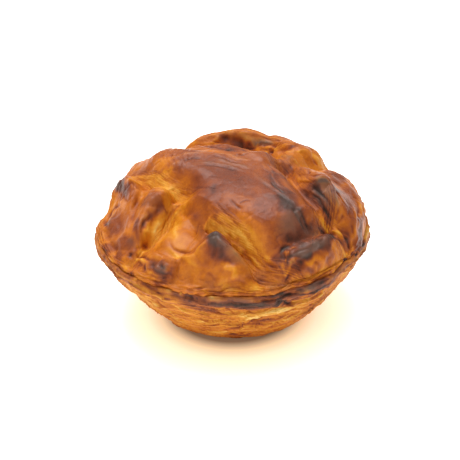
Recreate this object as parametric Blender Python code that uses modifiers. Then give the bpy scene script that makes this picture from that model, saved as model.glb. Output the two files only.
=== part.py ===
"""A small chicken pie: a tapered, flaky pastry case under a puffed lid.

The lid is scored by two long cuts and several short ones. Between the long cuts stands a
pillow, and the corners of the cuts have curled up into flaps. The pie is uncut, so both
pieces are solid. Units are metres, +Z is up, and the pie's axis is the Z axis.
"""

import math
from collections import namedtuple

import bmesh
import bpy
import numpy as np
from mathutils import Matrix

MM = 0.001

# ---- Driving dimensions -------------------------------------------------------------------
RIM_RADIUS = 57.5 * MM       # widest radius, at the rim of the case
RIM_HEIGHT = 32.0 * MM       # height of that widest ring
BASE_RADIUS = 30.0 * MM      # where the side wall meets the table
BASE_FILLET = 1.6 * MM       # rounding between side wall and base
SIDE_BULGE = 0.78            # under 1 the side wall is convex
SEAM_HEIGHT = 36.6 * MM      # where the lid's edge lies on the case
SEAM_RECESS = 1.9 * MM       # how far the seam lies inside the rim
SEAM_GAP = 0.4 * MM          # clearance between lid and case
DOME_RISE = 18.0 * MM        # lid over seam, before the pillow
DOME_SQUARENESS = 4.0        # higher is flatter on top, steeper at the edge
DOME_SHOULDER = 0.6          # lower is fuller at the shoulder
LEAN_BACK = 0.08             # the lid has risen more at the back
LEAN_RIGHT = 0.03            # and on the right
BASE_SHIFT = (2.3 * MM, -1.6 * MM)   # the foot stands a little off the rim's centre
RIM_STRIP = 1.6 * MM         # no cut goes lower than this over the seam
HIDDEN_RADIUS = 46.0 * MM    # flat middle of the face between lid and case
HIDDEN_HEIGHT = 33.0 * MM

RING_DIVISIONS = 30          # the lid's triangle net has this many rings
EDGE_POINTS = 6 * RING_DIVISIONS
SMOOTHING_ROUNDS = 2
EDGE_CRISPNESS = 0.6         # how sharp a fold's crest is on its steep side
TINY = 1e-6

# ---- Lid features, in millimetres: x to the right, y to the back, height over the dome ------
Swell = namedtuple("Swell", "x y turn length width height power")
Fold = namedtuple("Fold", "path left right curl")

SWELLS = {
    "pillow": Swell(3.5, -1.5, -45, 39, 25.5, 10.5, 2.6),
    "vent_pit": Swell(-21.5, -27, -50, 15, 11, -5.5, 2.4),
    "vent_blister": Swell(-19.5, -29.5, 60, 9.5, 7.5, 3.6, 2.0),
    "left_slope": Swell(-52.5, -8, 88, 24, 7.5, -4.5, 2.0),
    "inner_left_lobe": Swell(-34.5, -14, 62, 13, 6.5, 3.0, 2.0),
    "front_flap_face": Swell(-6, -47, -20, 14, 6, 1.4, 2.0),
    "burnt_corner": Swell(36, -28.5, 40, 9, 6, 2.0, 2.0),
    "right_flap": Swell(44, -7, -62, 13, 7, 0.8, 2.0),
    "rear_right_lobe": Swell(27, 19, -35, 9, 6, 3.0, 2.0),
    "rear_corner_lobe": Swell(30, 36, -42, 12, 7, 3.4, 2.0),
    "rear_flap": Swell(4, 47, -4, 23, 7, 1.8, 2.0),
    "rear_left_lobe": Swell(-38, 24, 50, 14, 7, -0.6, 2.0),
    "front_knob": Swell(-27.5, -47.5, 30, 5.5, 4, 2.0, 2.0),
}

# A path runs from one (x, y, height) to the next; left and right are the widths on its sides.
FOLDS = {
    "long_cut_left": Fold([(-50, 24, -2), (-44, 15, -4), (-37, 7, -6.5), (-29, -1, -7.5),
                           (-20, -8, -6)], 6.5, 3.6, 0),
    "long_cut_front": Fold([(-20, -12, -2), (-15.5, -21, -4), (-9, -27, -5.5), (-2, -33.5, -7),
                            (4.4, -42.5, -8), (9, -48.4, -7), (13.5, -50.6, -4),
                            (17, -51.2, -1)], 3.6, 3.4, 0),
    "long_cut_rear": Fold([(-38, 42, -5), (-28, 38, -7), (-18, 39.5, -6.5), (-8, 38, -7.5),
                           (5, 31.5, -7.5), (14, 19, -7), (21, 6, -7.5), (28, -9.5, -8),
                           (36, -21, -8), (44, -27, -6), (52, -29, -3)], 4.6, 7.0, 0),
    "short_cut_left": Fold([(-22, -5, -3), (-27, -12, -6), (-31, -18, -7), (-35, -26, -6.5),
                            (-38.5, -34, -4.5), (-42, -41, -1)], 6.0, 2.8, 0),
    "lobe_crease": Fold([(-37, 2, -2), (-39.4, -8, -4), (-41, -17, -3.4), (-43.5, -26, -1.4),
                         (-46, -34, 0)], 3.2, 3.0, 0),
    "short_cut_right": Fold([(16, -51.8, -2), (24, -49.6, -6.5), (31.5, -44.5, -8.5),
                             (38.5, -39, -8.5), (45.5, -32, -8), (51, -24.5, -4)],
                            3.6, 3.0, 0),
    "short_cut_rear": Fold([(22, 8, -3), (29, 14, -5), (36, 20.5, -6.5), (42, 27, -6.5),
                            (48, 33, -4)], 5.0, 4.0, 0),
    "rear_slit": Fold([(-9, 46, -1), (-1, 44, -4.4), (8.5, 40, -4.4), (14, 39, -1)],
                      1.8, 3.4, 0),
    "burnt_ridge": Fold([(21, -49.6, 4.5), (27.5, -46, 6.6), (34, -41.2, 7.4),
                         (41, -35.2, 7.2), (47, -28, 4.6)], 4.4, 2.0, 2.0),
    "burnt_hollow": Fold([(23.5, -39, -2.5), (30, -35, -6), (37, -28.8, -6.5),
                          (43, -22, -3)], 3.8, 3.2, 0),
    "front_flap_ridge": Fold([(-9.2, -36.5, 6.5), (-2.5, -42.6, 5.8), (4.2, -48.9, 4),
                              (8.8, -52.3, 1)], 2.0, 8.5, 1.4),
    "front_flap_side": Fold([(-9.4, -36.8, 1.6), (-12.6, -39.6, 2.6), (-16.2, -43, 1)],
                            5.5, 1.8, 0.8),
    "inner_left_tip": Fold([(-37, -6, 0.6), (-31, -9.5, 2.0), (-28, -13.5, 2.8),
                            (-31, -18.5, 2.8), (-35, -25, 2.4), (-39, -32, 1)],
                           2.2, 5.0, 1.0),
    "left_tip": Fold([(-51.5, 15.5, 11.5), (-49, 12, 8), (-45, 4, 1.5)], 3.0, 4.0, 1.0),
    "right_flap_ridge": Fold([(32, -6, 1), (36.5, -14, 2.6), (40.5, -20, 3),
                              (44.5, -25, 1.5)], 8.0, 2.6, 1.2),
    "right_flap_top": Fold([(30.5, -5, 0.5), (37, -1, 1.6), (43, 1.5, 1.6), (50, 3, 0.6)],
                           2.6, 7.0, 0.8),
    "rear_flap_edge": Fold([(-22, 47.5, 1), (-10, 47, 2.2), (2, 45.5, 2.6), (12, 42, 2.4),
                            (20, 37, 1.5)], 7.0, 2.6, 0.8),
    "rear_pleat": Fold([(-2, 56, 1.2), (4, 50, 1.6), (12, 46, 0.6)], 4.0, 3.0, 0),
}

# Sideways swell of the rim: (waves round the pie, size in mm, phase in degrees)
RIM_WAVES = [(2, 0.45, 12), (3, 0.40, 150), (5, 0.30, 40), (9, 0.22, 200), (14, 0.16, 75)]
# Places where the rim is pressed in: (bearing in degrees, half-width in degrees, size in mm)
RIM_DENTS = [(168, 14, -3.2), (215, 20, -0.7)]
# Up and down wander of the seam, in the same form
SEAM_WAVES = [(1, 0.55, 15), (2, 0.45, 95), (5, 0.35, 310), (11, 0.30, 60)]

# Ledges round the case: (height in mm, half-thickness in mm, depth in mm)
LEDGES = [(34.2, 2.2, 0.7), (28.6, 1.6, -0.9), (24.0, 2.2, 0.6), (19.6, 1.4, -0.6),
          (14.5, 2.2, 0.5), (9.2, 1.4, -0.8)]

# Large waves of the whole skin: (cell in mm, size in mm, seed)
SKIN_WAVES = [(13.0, 0.8, 5), (6.5, 0.35, 6)]
SIDE_WAVES = [(11.0, 0.7, 7), (5.0, 0.4, 8)]
SIDE_STRETCH = 0.35          # the case's flakes lie flat: wide round the pie, thin upwards

CASE_TONE = (0.47, 0.20, 0.055, 1.0)
LID_TONE = (0.36, 0.125, 0.04, 1.0)


# ---- Small helpers --------------------------------------------------------------------------
def ease(value):
    """Smooth step from 0 to 1."""
    value = np.clip(value, 0.0, 1.0)
    return value * value * (3.0 - 2.0 * value)


def soft_greater(first, second, blend):
    """The greater of two fields, with a rounded change from one to the other."""
    return 0.5 * (first + second + np.sqrt((first - second) ** 2 + blend ** 2))


def soft_noise(x, y, z, cell, seed):
    """A smooth seeded field between -1 and 1, with one random value per cell corner."""
    place = np.stack([x, y, z], axis=-1) / cell
    corner = np.floor(place).astype(np.int64)
    blend = ease(place - corner)
    total = np.zeros(len(place))
    for step in np.ndindex(2, 2, 2):
        key = corner + np.array(step)
        mix = key[:, 0] * 73856093 ^ key[:, 1] * 19349663 ^ key[:, 2] * 83492791
        mix = (mix ^ seed * 2654435761) & 0xFFFFFFFF
        mix = (mix ^ mix >> 15) * 2246822519 & 0xFFFFFFFF
        mix = (mix ^ mix >> 13) * 3266489917 & 0xFFFFFFFF
        share = np.prod(np.where(step, blend, 1.0 - blend), axis=1)
        total += share * ((mix ^ mix >> 16) / 0x7FFFFFFF - 1.0)
    return total


def waves(angle, table):
    """Sum of round-the-pie waves, in metres."""
    total = np.zeros_like(angle)
    for count, size, phase in table:
        total += size * MM * np.sin(count * angle + math.radians(phase))
    return total


def rounded_path(points):
    """Cuts the corners of a path, so that a fold bends softly."""
    path = np.array(points, dtype=float)
    for _ in range(SMOOTHING_ROUNDS):
        before = path[:-1] * 0.75 + path[1:] * 0.25
        after = path[:-1] * 0.25 + path[1:] * 0.75
        middle = np.stack([before, after], axis=1).reshape(-1, 3)
        path = np.vstack([path[:1], middle, path[-1:]])
    return path


# ---- Lid shape ------------------------------------------------------------------------------
def swell_height(swell, x, y):
    """Rounded mound (or pit) on a turned ellipse."""
    turn = math.radians(swell.turn)
    along = (x - swell.x) * math.cos(turn) + (y - swell.y) * math.sin(turn)
    across = (y - swell.y) * math.cos(turn) - (x - swell.x) * math.sin(turn)
    far = np.abs(along / swell.length) ** swell.power + np.abs(across / swell.width) ** swell.power
    return swell.height * np.exp(-0.35 * far) * ease(1.6 - 0.8 * far)


def fold_height(fold, x, y):
    """Height and sideways push of one ridge or cut along its path."""
    nearest = np.full(x.shape, np.inf)
    height = np.zeros_like(x)
    side = np.zeros_like(x)
    push = np.zeros(x.shape + (2,))
    path = rounded_path(fold.path)
    for start, end in zip(path, path[1:]):
        run = end[:2] - start[:2]
        length = np.hypot(*run)
        share = ((x - start[0]) * run[0] + (y - start[1]) * run[1]) / length ** 2
        share = np.clip(share, 0.0, 1.0)
        off_x = x - start[0] - share * run[0]
        off_y = y - start[1] - share * run[1]
        distance = np.hypot(off_x, off_y)
        closer = distance < nearest
        nearest = np.where(closer, distance, nearest)
        height = np.where(closer, start[2] + share * (end[2] - start[2]), height)
        sine = (run[0] * off_y - run[1] * off_x) / (length * np.maximum(distance, 1e-6))
        side = np.where(closer, sine, side)
        outward = np.array([-run[1], run[0]]) / length
        push = np.where(closer[:, None], outward, push)
    steep_side = np.sign(fold.right - fold.left)
    width = fold.right + (fold.left - fold.right) * (0.5 + 0.5 * side)
    crispness = 2.0 - EDGE_CRISPNESS * (0.5 + 0.5 * side * steep_side)
    fall = np.exp(-(nearest / width) ** crispness)
    return height * fall, push * (fold.curl * steep_side * fall)[:, None]


def lid_relief(x, y):
    """Height over the plain dome and sideways push, all in millimetres."""
    lift = np.zeros_like(x)
    push = np.zeros(x.shape + (2,))
    for swell in SWELLS.values():
        lift += swell_height(swell, x, y)
    for fold in FOLDS.values():
        rise, shift = fold_height(fold, x, y)
        lift += rise
        push += shift
    return lift, push


def lid_section():
    """Section of the plain lid from its middle to the seam, with even steps along it."""
    reach = np.linspace(0.0, 1.0, 400) ** 0.5
    radius = RIM_RADIUS * reach
    rise = DOME_RISE * (1.0 - reach ** DOME_SQUARENESS) ** DOME_SHOULDER
    tuck = np.linspace(0.0, math.pi / 2, 24)[1:]
    tuck_drop = 1.4 * MM
    radius = np.append(radius, RIM_RADIUS - SEAM_RECESS * (1.0 - np.cos(tuck)))
    rise = np.append(rise + tuck_drop, tuck_drop * (1.0 - np.sin(tuck)))
    travel = np.append(0.0, np.cumsum(np.hypot(np.diff(radius), np.diff(rise))))
    return travel / travel[-1], radius, rise


def rim_scale(angle, radius):
    """Widens or narrows the round outline a little, more towards the rim."""
    change = waves(angle, RIM_WAVES)
    for bearing, width, size in RIM_DENTS:
        off = np.angle(np.exp(1j * (angle - math.radians(bearing)))) / math.radians(width)
        change += size * MM * np.exp(-off ** 2)
    return 1.0 + change / RIM_RADIUS * ease(radius / RIM_RADIUS)


def seam_height(angle):
    """Height of the seam round the pie."""
    return SEAM_HEIGHT + waves(angle, SEAM_WAVES)


def lid_surface(share, angle):
    """Points of the lid's top: share runs from 0 in the middle to 1 at the seam."""
    steps, radii, rises = lid_section()
    radius = np.interp(share, steps, radii)
    rise = np.interp(share, steps, rises)
    reach = radius * rim_scale(angle, radius)
    x = reach * np.cos(angle)
    y = reach * np.sin(angle)
    lift, push = lid_relief(x / MM, y / MM)
    free = ease((1.0 - share) / 0.13)
    seam = HIDDEN_HEIGHT + (seam_height(angle) - HIDDEN_HEIGHT) * ease(radius / RIM_RADIUS / 0.8)
    lean = (LEAN_BACK * y + LEAN_RIGHT * x) * np.sqrt(free)
    wave = np.zeros_like(x)
    for cell, size, seed in SKIN_WAVES:
        wave += size * soft_noise(x / MM, y / MM, rise / MM, cell, seed)
    cut = rise + lean + (lift + wave) * free * MM
    uncut = np.minimum(rise, RIM_STRIP)
    z = seam + SEAM_GAP + soft_greater(cut, uncut, RIM_STRIP * free)
    spread = 1.0 + 0.4 * wave * MM * ease(share / 0.5) * (share < 0.999) / RIM_RADIUS
    points = np.stack([x * spread, y * spread, z], axis=-1)
    points[:, :2] += push * free[:, None] * MM
    return points


# ---- Case shape -----------------------------------------------------------------------------
def case_section():
    """Half section of the case, from the middle of its top face down to the table's middle."""
    points = [(0.0, HIDDEN_HEIGHT), (HIDDEN_RADIUS, HIDDEN_HEIGHT),
              (RIM_RADIUS - SEAM_RECESS, SEAM_HEIGHT)]
    for turn in np.linspace(0.25, 1.0, 3) * math.pi / 2:
        inset = SEAM_RECESS * (1.0 - math.sin(turn))
        drop = (SEAM_HEIGHT - RIM_HEIGHT) * (1.0 - math.cos(turn))
        points.append((RIM_RADIUS - inset, SEAM_HEIGHT - drop))
    for share in np.linspace(0.9, 0.06, 10):
        radius = BASE_RADIUS + (RIM_RADIUS - BASE_RADIUS) * share ** SIDE_BULGE
        points.append((radius, RIM_HEIGHT * share))
    points.append((BASE_RADIUS - BASE_FILLET, 0.0))
    points.append((0.0, 0.0))
    return points


def shape_case(points):
    """Moves the turned case's points to the uneven, layered form of the pie."""
    angle = np.arctan2(points[:, 1], points[:, 0])
    radius = np.hypot(points[:, 0], points[:, 1])
    height = points[:, 2]
    hidden = (radius < HIDDEN_RADIUS + TINY) & (height > HIDDEN_HEIGHT - TINY)
    at_seam = height > SEAM_HEIGHT - TINY
    outside = ~hidden & ~at_seam & (height > TINY)
    new_radius = np.where(hidden, radius, radius * rim_scale(angle, radius))
    depth = np.zeros_like(radius)
    for level, thickness, size in LEDGES:
        wander = 1.6 * np.sin(3 * angle + level) + 0.9 * np.sin(7 * angle - 2 * level)
        depth += size * np.exp(-((height / MM - level - wander) / thickness) ** 2)
    for cell, size, seed in SIDE_WAVES:
        depth += size * soft_noise(points[:, 0] / MM * SIDE_STRETCH,
                                   points[:, 1] / MM * SIDE_STRETCH,
                                   height / MM, cell * SIDE_STRETCH, seed)
    new_radius += np.where(outside, depth * MM, 0.0)
    stretch = (seam_height(angle) - SEAM_HEIGHT) * ease((height - 0.6 * RIM_HEIGHT)
                                                        / (SEAM_HEIGHT - 0.6 * RIM_HEIGHT))
    new_height = height + np.where(hidden, 0.0, stretch)
    below = np.clip(1.0 - height / RIM_HEIGHT, 0.0, 1.0)
    new_x = new_radius * np.cos(angle) + BASE_SHIFT[0] * below
    new_y = new_radius * np.sin(angle) + BASE_SHIFT[1] * below
    return np.stack([new_x, new_y, new_height], axis=-1)


# ---- Building -------------------------------------------------------------------------------
def clear_scene():
    for thing in list(bpy.data.objects):
        bpy.data.objects.remove(thing, do_unlink=True)


def pastry_material(name, tone, roughness):
    """Plain pastry tone for one piece."""
    material = bpy.data.materials.new(name)
    material.use_nodes = True
    shader = material.node_tree.nodes["Principled BSDF"]
    shader.inputs["Base Color"].default_value = tone
    shader.inputs["Roughness"].default_value = roughness
    shader.inputs["Metallic"].default_value = 0.0
    return material


def coordinates(mesh):
    flat = np.empty(len(mesh.vertices) * 3)
    mesh.vertices.foreach_get("co", flat)
    return flat.reshape(-1, 3)


def add_object(name, mesh, material, collection):
    mesh.materials.clear()
    mesh.materials.append(material)
    mesh.shade_smooth()
    thing = bpy.data.objects.new(name, mesh)
    collection.objects.link(thing)
    return thing


def disc_net():
    """A hexagon cut into an even net of triangles, for the lid's sheet."""
    net = bmesh.new()
    corner_on_x = Matrix.Rotation(math.pi / 6, 4, "Z")
    bmesh.ops.create_circle(net, cap_ends=True, cap_tris=True, segments=6, radius=1.0,
                            matrix=corner_on_x)
    bmesh.ops.subdivide_edges(net, edges=net.edges[:], cuts=RING_DIVISIONS - 1,
                              use_grid_fill=True)
    return net


def hexagon_to_disc(x, y):
    """Ring share and angle of a point of the hexagon, so that its rings become circles."""
    sixth = math.pi / 3
    angle = np.arctan2(y, x) + 1e-9
    sector = np.floor(angle / sixth)
    local = angle - sector * sixth
    length = np.hypot(x, y)
    second = length * np.sin(local) / math.sin(sixth)
    first = length * np.cos(local) - 0.5 * second
    ring = first + second
    return ring, (sector + second / np.maximum(ring, 1e-9)) * sixth


def build_lid(collection):
    """The lid: its shaped sheet above, and the plain face that lies on the case below."""
    net = disc_net()
    flat = np.array([corner.co for corner in net.verts])
    share, angle = hexagon_to_disc(flat[:, 0], flat[:, 1])
    for corner, place in zip(net.verts, lid_surface(share, angle)):
        corner.co = place
    rim = [edge for edge in net.edges if edge.is_boundary]
    grown = bmesh.ops.extrude_edge_only(net, edges=rim)["geom"]
    inner = [item for item in grown if isinstance(item, bmesh.types.BMVert)]
    for corner in inner:
        turn = math.atan2(corner.co.y, corner.co.x)
        corner.co = (HIDDEN_RADIUS * math.cos(turn), HIDDEN_RADIUS * math.sin(turn),
                     HIDDEN_HEIGHT + SEAM_GAP)
    loop = [edge for edge in net.edges if edge.is_boundary]
    bmesh.ops.edgeloop_fill(net, edges=loop)
    bmesh.ops.recalc_face_normals(net, faces=net.faces[:])
    mesh = bpy.data.meshes.new("pastry_lid")
    net.to_mesh(mesh)
    net.free()
    return add_object("pastry_lid", mesh, pastry_material("glazed_lid", LID_TONE, 0.34), collection)


def build_case(collection):
    """The case: a turned body whose side is then pressed into ledges and flakes."""
    profile = bpy.data.meshes.new("case_profile")
    section = case_section()
    edges = [(i, i + 1) for i in range(len(section) - 1)]
    profile.from_pydata([(radius, 0.0, height) for radius, height in section], edges, [])
    turned = bpy.data.objects.new("case_profile", profile)
    collection.objects.link(turned)
    screw = turned.modifiers.new("turn", "SCREW")
    screw.steps = EDGE_POINTS
    screw.render_steps = EDGE_POINTS
    screw.use_merge_vertices = True
    screw.merge_threshold = 0.00001
    graph = bpy.context.evaluated_depsgraph_get()
    mesh = bpy.data.meshes.new_from_object(turned.evaluated_get(graph))
    mesh.name = "pastry_case"
    bpy.data.objects.remove(turned, do_unlink=True)
    mesh.vertices.foreach_set("co", shape_case(coordinates(mesh)).ravel())
    mesh.update()
    return add_object("pastry_case", mesh, pastry_material("baked_case", CASE_TONE, 0.62),
                      collection)


def centre_pieces(pieces):
    """Puts the middle of the whole pie's footprint on the Z axis."""
    points = np.vstack([coordinates(piece.data) for piece in pieces])
    middle = (points.min(axis=0) + points.max(axis=0)) / 2
    for piece in pieces:
        piece.data.transform(Matrix.Translation((-middle[0], -middle[1], 0.0)))


def main():
    clear_scene()
    collection = bpy.data.collections.new("chicken_pie")
    bpy.context.scene.collection.children.link(collection)
    pieces = [build_case(collection), build_lid(collection)]
    centre_pieces(pieces)


if __name__ == "__main__":
    main()
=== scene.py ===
"""The looks of the chicken pie: the puffed lid and the flaky case, on a pale floor.

Both pieces follow the sizes, swells and folds of the solids, a few of them refined, and add what
is finer: layered cut faces, wrinkles, blisters, flakes, and how far each place has browned, with
painted shade in hollows and painted highlights on crests mixed into that tone.
Lengths in the tables and in the relief are in mm, and turns and bearings in degrees.
"""
import math
from collections import namedtuple

import bpy
import numpy as np
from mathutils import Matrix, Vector


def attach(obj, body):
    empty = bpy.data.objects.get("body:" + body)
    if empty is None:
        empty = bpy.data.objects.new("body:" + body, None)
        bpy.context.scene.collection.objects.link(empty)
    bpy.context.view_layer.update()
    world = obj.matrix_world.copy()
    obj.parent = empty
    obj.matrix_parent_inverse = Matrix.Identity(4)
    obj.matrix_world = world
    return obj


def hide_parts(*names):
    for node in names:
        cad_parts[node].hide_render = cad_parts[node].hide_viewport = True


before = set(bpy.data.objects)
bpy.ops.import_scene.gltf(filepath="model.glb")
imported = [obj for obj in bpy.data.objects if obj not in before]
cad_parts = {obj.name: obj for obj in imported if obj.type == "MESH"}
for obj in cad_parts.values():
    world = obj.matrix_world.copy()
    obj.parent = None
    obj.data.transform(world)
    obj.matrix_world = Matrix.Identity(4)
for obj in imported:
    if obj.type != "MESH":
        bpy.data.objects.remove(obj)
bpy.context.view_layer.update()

MM = 0.001

# ---- Sizes shared with the solids -------------------------------------------------------------
FRAME_SHIFT = (-0.70 * MM, -0.257 * MM)   # puts the middle of the footprint on the Z axis
RIM_RADIUS = 57.5 * MM
RIM_HEIGHT = 32.0 * MM
BASE_RADIUS = 30.0 * MM
BASE_FILLET = 1.6 * MM
SIDE_BULGE = 0.78
SEAM_HEIGHT = 36.6 * MM
SEAM_RECESS = 1.9 * MM
SEAM_GAP = 0.4 * MM
DOME_RISE = 18.0 * MM
DOME_SQUARENESS = 4.0
DOME_SHOULDER = 0.6
LEAN_BACK = 0.08
LEAN_RIGHT = 0.03
BASE_SHIFT = (2.3 * MM, -1.6 * MM)
RIM_STRIP = 1.6 * MM
HIDDEN_RADIUS = 46.0 * MM
HIDDEN_HEIGHT = 33.0 * MM
TUCK_DROP = 1.4 * MM
EDGE_CRISPNESS = 0.75
SMOOTHING_ROUNDS = 3

# ---- How fine the nets are, and the circles that noise and marks are laid round ---------------
LID_RINGS = 176
LID_TRAVEL = 66.0      # from the middle of the lid down to the seam, along its skin
CASE_COLUMNS = 900
CASE_ROWS = 100
RIM_CIRCLE = 55.0
CASE_CIRCLE = 50.0

# ---- The forms of the lid and the case --------------------------------------------------------
# Swells are ovals that rise or sink: middle, turn, half length, half width, height, squareness.
# Folds are creases or ridges along a path of x, y and height: the width to its left and to its
# right, how far it leans to its steep side, and how narrow it starts.
Swell = namedtuple("Swell", "x y turn length width height power")
Fold = namedtuple("Fold", "path left right curl point", defaults=[1.0])

SWELLS = {
    "pillow": Swell(3.5, -1.5, -45, 39, 25.5, 10.5, 2.6),
    "vent_pit": Swell(-21.5, -27, -50, 15, 11, -5.5, 2.4),
    "vent_blister": Swell(-19.5, -29.5, 60, 9.5, 7.5, 3.6, 2.0),
    "left_slope": Swell(-52.5, -8, 88, 24, 7.5, -4.5, 2.0),
    "inner_left_lobe": Swell(-34.5, -14, 62, 13, 6.5, 3.0, 2.0),
    "front_flap_face": Swell(-6, -47, -20, 14, 6, 1.4, 2.0),
    "burnt_corner": Swell(36, -28.5, 40, 9, 6, 2.0, 2.0),
    "right_flap": Swell(44, -7, -62, 13, 7, 0.8, 2.0),
    "rear_right_lobe": Swell(27, 19, -35, 9, 6, 3.0, 2.0),
    "rear_corner_lobe": Swell(30, 36, -42, 12, 7, 3.4, 2.0),
    "rear_flap": Swell(4, 47, -4, 23, 7, 1.8, 2.0),
    "rear_left_lobe": Swell(-37, 25, 50, 15, 8, 1.6, 2.0),
    "front_knob": Swell(-27.5, -47.5, 30, 5.5, 4, 2.0, 2.0),
    "pillow_back": Swell(-5, 27, -14, 20, 10, -4.4, 2.0),
    "pillow_corner": Swell(13, 17, -50, 10, 7, 1.6, 2.0),
}

FOLDS = {
    "long_cut_left": Fold([(-50, 24, -2), (-44, 15, -4), (-37, 7, -6.5), (-29, -1, -7.5),
                           (-20, -8, -6)], 6.5, 3.6, 0),
    "long_cut_front": Fold([(-20, -13, -2), (-17, -22, -3), (-11.5, -29.5, -4.5),
                            (-5, -35.5, -6), (1.6, -43, -7), (7, -48.8, -6.5),
                            (12.5, -51.4, -4), (17, -51.8, -1)], 7.5, 2.2, 0),
    "long_cut_rear": Fold([(-38, 42, -5), (-28, 38, -7), (-18, 39.5, -6.5), (-8, 39, -7.5),
                           (6, 36, -7.5), (17.5, 25, -7), (23, 9, -7.5), (28.5, -8, -8),
                           (36, -20.5, -8), (44, -27, -6), (52, -29, -3)], 5.0, 4.6, 0),
    "short_cut_left": Fold([(-22, -5, -3), (-27, -12, -6), (-31, -18, -7), (-35, -26, -6.5),
                            (-38.5, -34, -4.5), (-42, -41, -1)], 6.0, 2.8, 0),
    "lobe_crease": Fold([(-37, 2, -2), (-39.4, -8, -4), (-41, -17, -3.4), (-43.5, -26, -1.4),
                         (-46, -34, 0)], 3.2, 3.0, 0),
    "short_cut_right": Fold([(16, -51.8, -2), (24, -49.6, -6.5), (31.5, -44.5, -8.5),
                             (38.5, -39, -8.5), (45.5, -32, -8), (51, -24.5, -4)],
                            3.6, 3.0, 0),
    "short_cut_rear": Fold([(22, 8, -3), (29, 14, -5), (36, 20.5, -6.5), (42, 27, -6.5),
                            (48, 33, -4)], 5.0, 4.0, 0),
    "rear_slit": Fold([(-9, 46, -1), (-1, 44, -4.4), (8.5, 40, -4.4), (14, 39, -1)],
                      1.8, 3.4, 0),
    "burnt_ridge": Fold([(21, -49.6, 4.5), (27.5, -46, 6.6), (34, -41.2, 7.4),
                         (41, -35.2, 7.2), (47, -28, 4.6)], 4.4, 2.0, 2.0),
    "burnt_hollow": Fold([(23.5, -39, -2.5), (30, -35, -6), (37, -28.8, -6.5),
                          (43, -22, -3)], 3.8, 3.2, 0),
    "front_flap_ridge": Fold([(-13, -32.5, 6.0), (-8, -37, 6.6), (-2.5, -42.6, 6.2),
                              (4.2, -48.9, 4), (8.8, -52.3, 1)], 1.6, 8.5, 1.8, 0.15),
    "front_flap_side": Fold([(-13, -33, 0.8), (-15.4, -38, 2.2), (-18.4, -43, 1)],
                            5.5, 1.8, 0.8, 0.3),
    "inner_left_tip": Fold([(-37, -6, 0.6), (-31, -9.5, 2.0), (-28, -13.5, 2.8),
                            (-31, -18.5, 2.8), (-35, -25, 2.4), (-39, -32, 1)],
                           2.2, 5.0, 1.0),
    "left_tip": Fold([(-49.4, 14, 8.0), (-46.5, 11, 8.6), (-43, 7, 6.5), (-39.5, 1, 2.5)],
                     4.4, 4.4, 0.8),
    "right_flap_ridge": Fold([(33, -8.5, 1), (37.5, -6.5, 3), (42, -3.5, 4.4),
                              (44.6, -7.5, 5), (45.2, -13.5, 4.6), (44.6, -19.5, 2.5),
                              (43, -24, 1)], 6.0, 3.6, 1.4, 0.4),
    "rear_flap_edge": Fold([(-22, 47.5, -1.4), (-10, 47, 1.6), (2, 45.5, 2.6), (12, 42, 2.4),
                            (20, 37, 1.5)], 7.0, 2.6, 0.8),
    "rear_pleat": Fold([(-2, 56, 1.2), (4, 50, 1.6), (12, 46, 0.6)], 4.0, 3.0, 0),
}

# Waves round the rim and the seam (how many, size, phase), dents in the rim (bearing, half width,
# size), ledges of the case (height, half thickness, size), soft noise (cell, size, seed)
RIM_WAVES = [(2, 0.45, 12), (3, 0.40, 150), (5, 0.30, 40), (9, 0.22, 200), (14, 0.16, 75)]
RIM_DENTS = [(168, 14, -3.2), (215, 20, -0.7)]
SEAM_WAVES = [(1, 0.55, 15), (2, 0.45, 95), (5, 0.35, 310), (11, 0.30, 60), (17, 0.24, 130),
              (27, 0.16, 10)]
LEDGES = [(34.2, 2.2, 0.7), (28.6, 1.6, -0.9), (24.0, 2.2, 0.6), (19.6, 1.4, -0.6),
          (14.5, 2.2, 0.5), (9.2, 1.4, -0.8)]
SKIN_WAVES = [(13.0, 0.8, 5), (6.5, 0.35, 6)]
SIDE_WAVES = [(11.0, 0.7, 7), (5.0, 0.4, 8)]
SIDE_STRETCH = 0.35

# ---- Finer than the solids --------------------------------------------------------------------
# Layered faces beside a fold: which side (1 left, -1 right of the path), the reach from and to,
# the share of the path from and to, spacing and height, how far the layers run together at the
# path's end, and how dark the lines between them are
Layers = namedtuple("Layers", "fold side near far start end spacing height pinch shade seed")
LAYERS = [
    Layers("long_cut_front", 1, 0.0, 11.0, 0.30, 1.0, 1.9, 0.55, 0.35, 0.10, 1),
    Layers("burnt_ridge", -1, 1.2, 14.0, 0.0, 1.0, 1.5, 0.45, 0.15, 0.14, 2),
    Layers("right_flap_ridge", -1, 0.2, 9.0, 0.25, 1.0, 1.5, 0.6, 0.3, 0.22, 3),
    Layers("inner_left_tip", 1, 0.4, 6.0, 0.32, 1.0, 1.4, 0.5, 0.2, 0.10, 5),
    Layers("rear_flap_edge", 1, 0.0, 7.0, 0.0, 1.0, 1.6, 0.3, 0.0, 0.12, 6),
    Layers("rear_slit", -1, 0.0, 7.0, 0.0, 1.0, 1.5, 0.4, 0.2, 0.14, 7),
    Layers("long_cut_left", 1, 0.0, 6.0, 0.1, 1.0, 2.1, 0.25, 0.2, 0.08, 8),
    Layers("long_cut_rear", -1, 0.0, 7.0, 0.45, 1.0, 1.7, 0.35, 0.2, 0.12, 9),
    Layers("long_cut_rear", 1, 1.0, 7.0, 0.30, 0.9, 2.0, 0.25, 0.2, 0.10, 10),
]

# The lid's relief
SKIN_LUMPS = 0.30
CREASES = [(9.0, 0.42, 23), (4.0, 0.24, 24)]   # cell, depth, seed
CREASE_WIDTH = 0.075                           # as a share of the noise that the creases follow
LIP_SPACING = 2.3
LIP_HEIGHT = 0.6
RIM_LUMPS = 0.6
BACK_WRINKLE = 0.22
SEAM_FILL_LID = 1.1
SEAM_LONG_WAVES = 3    # this many seam waves lift the whole lid; the shorter ones fade in at its rim

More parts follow.
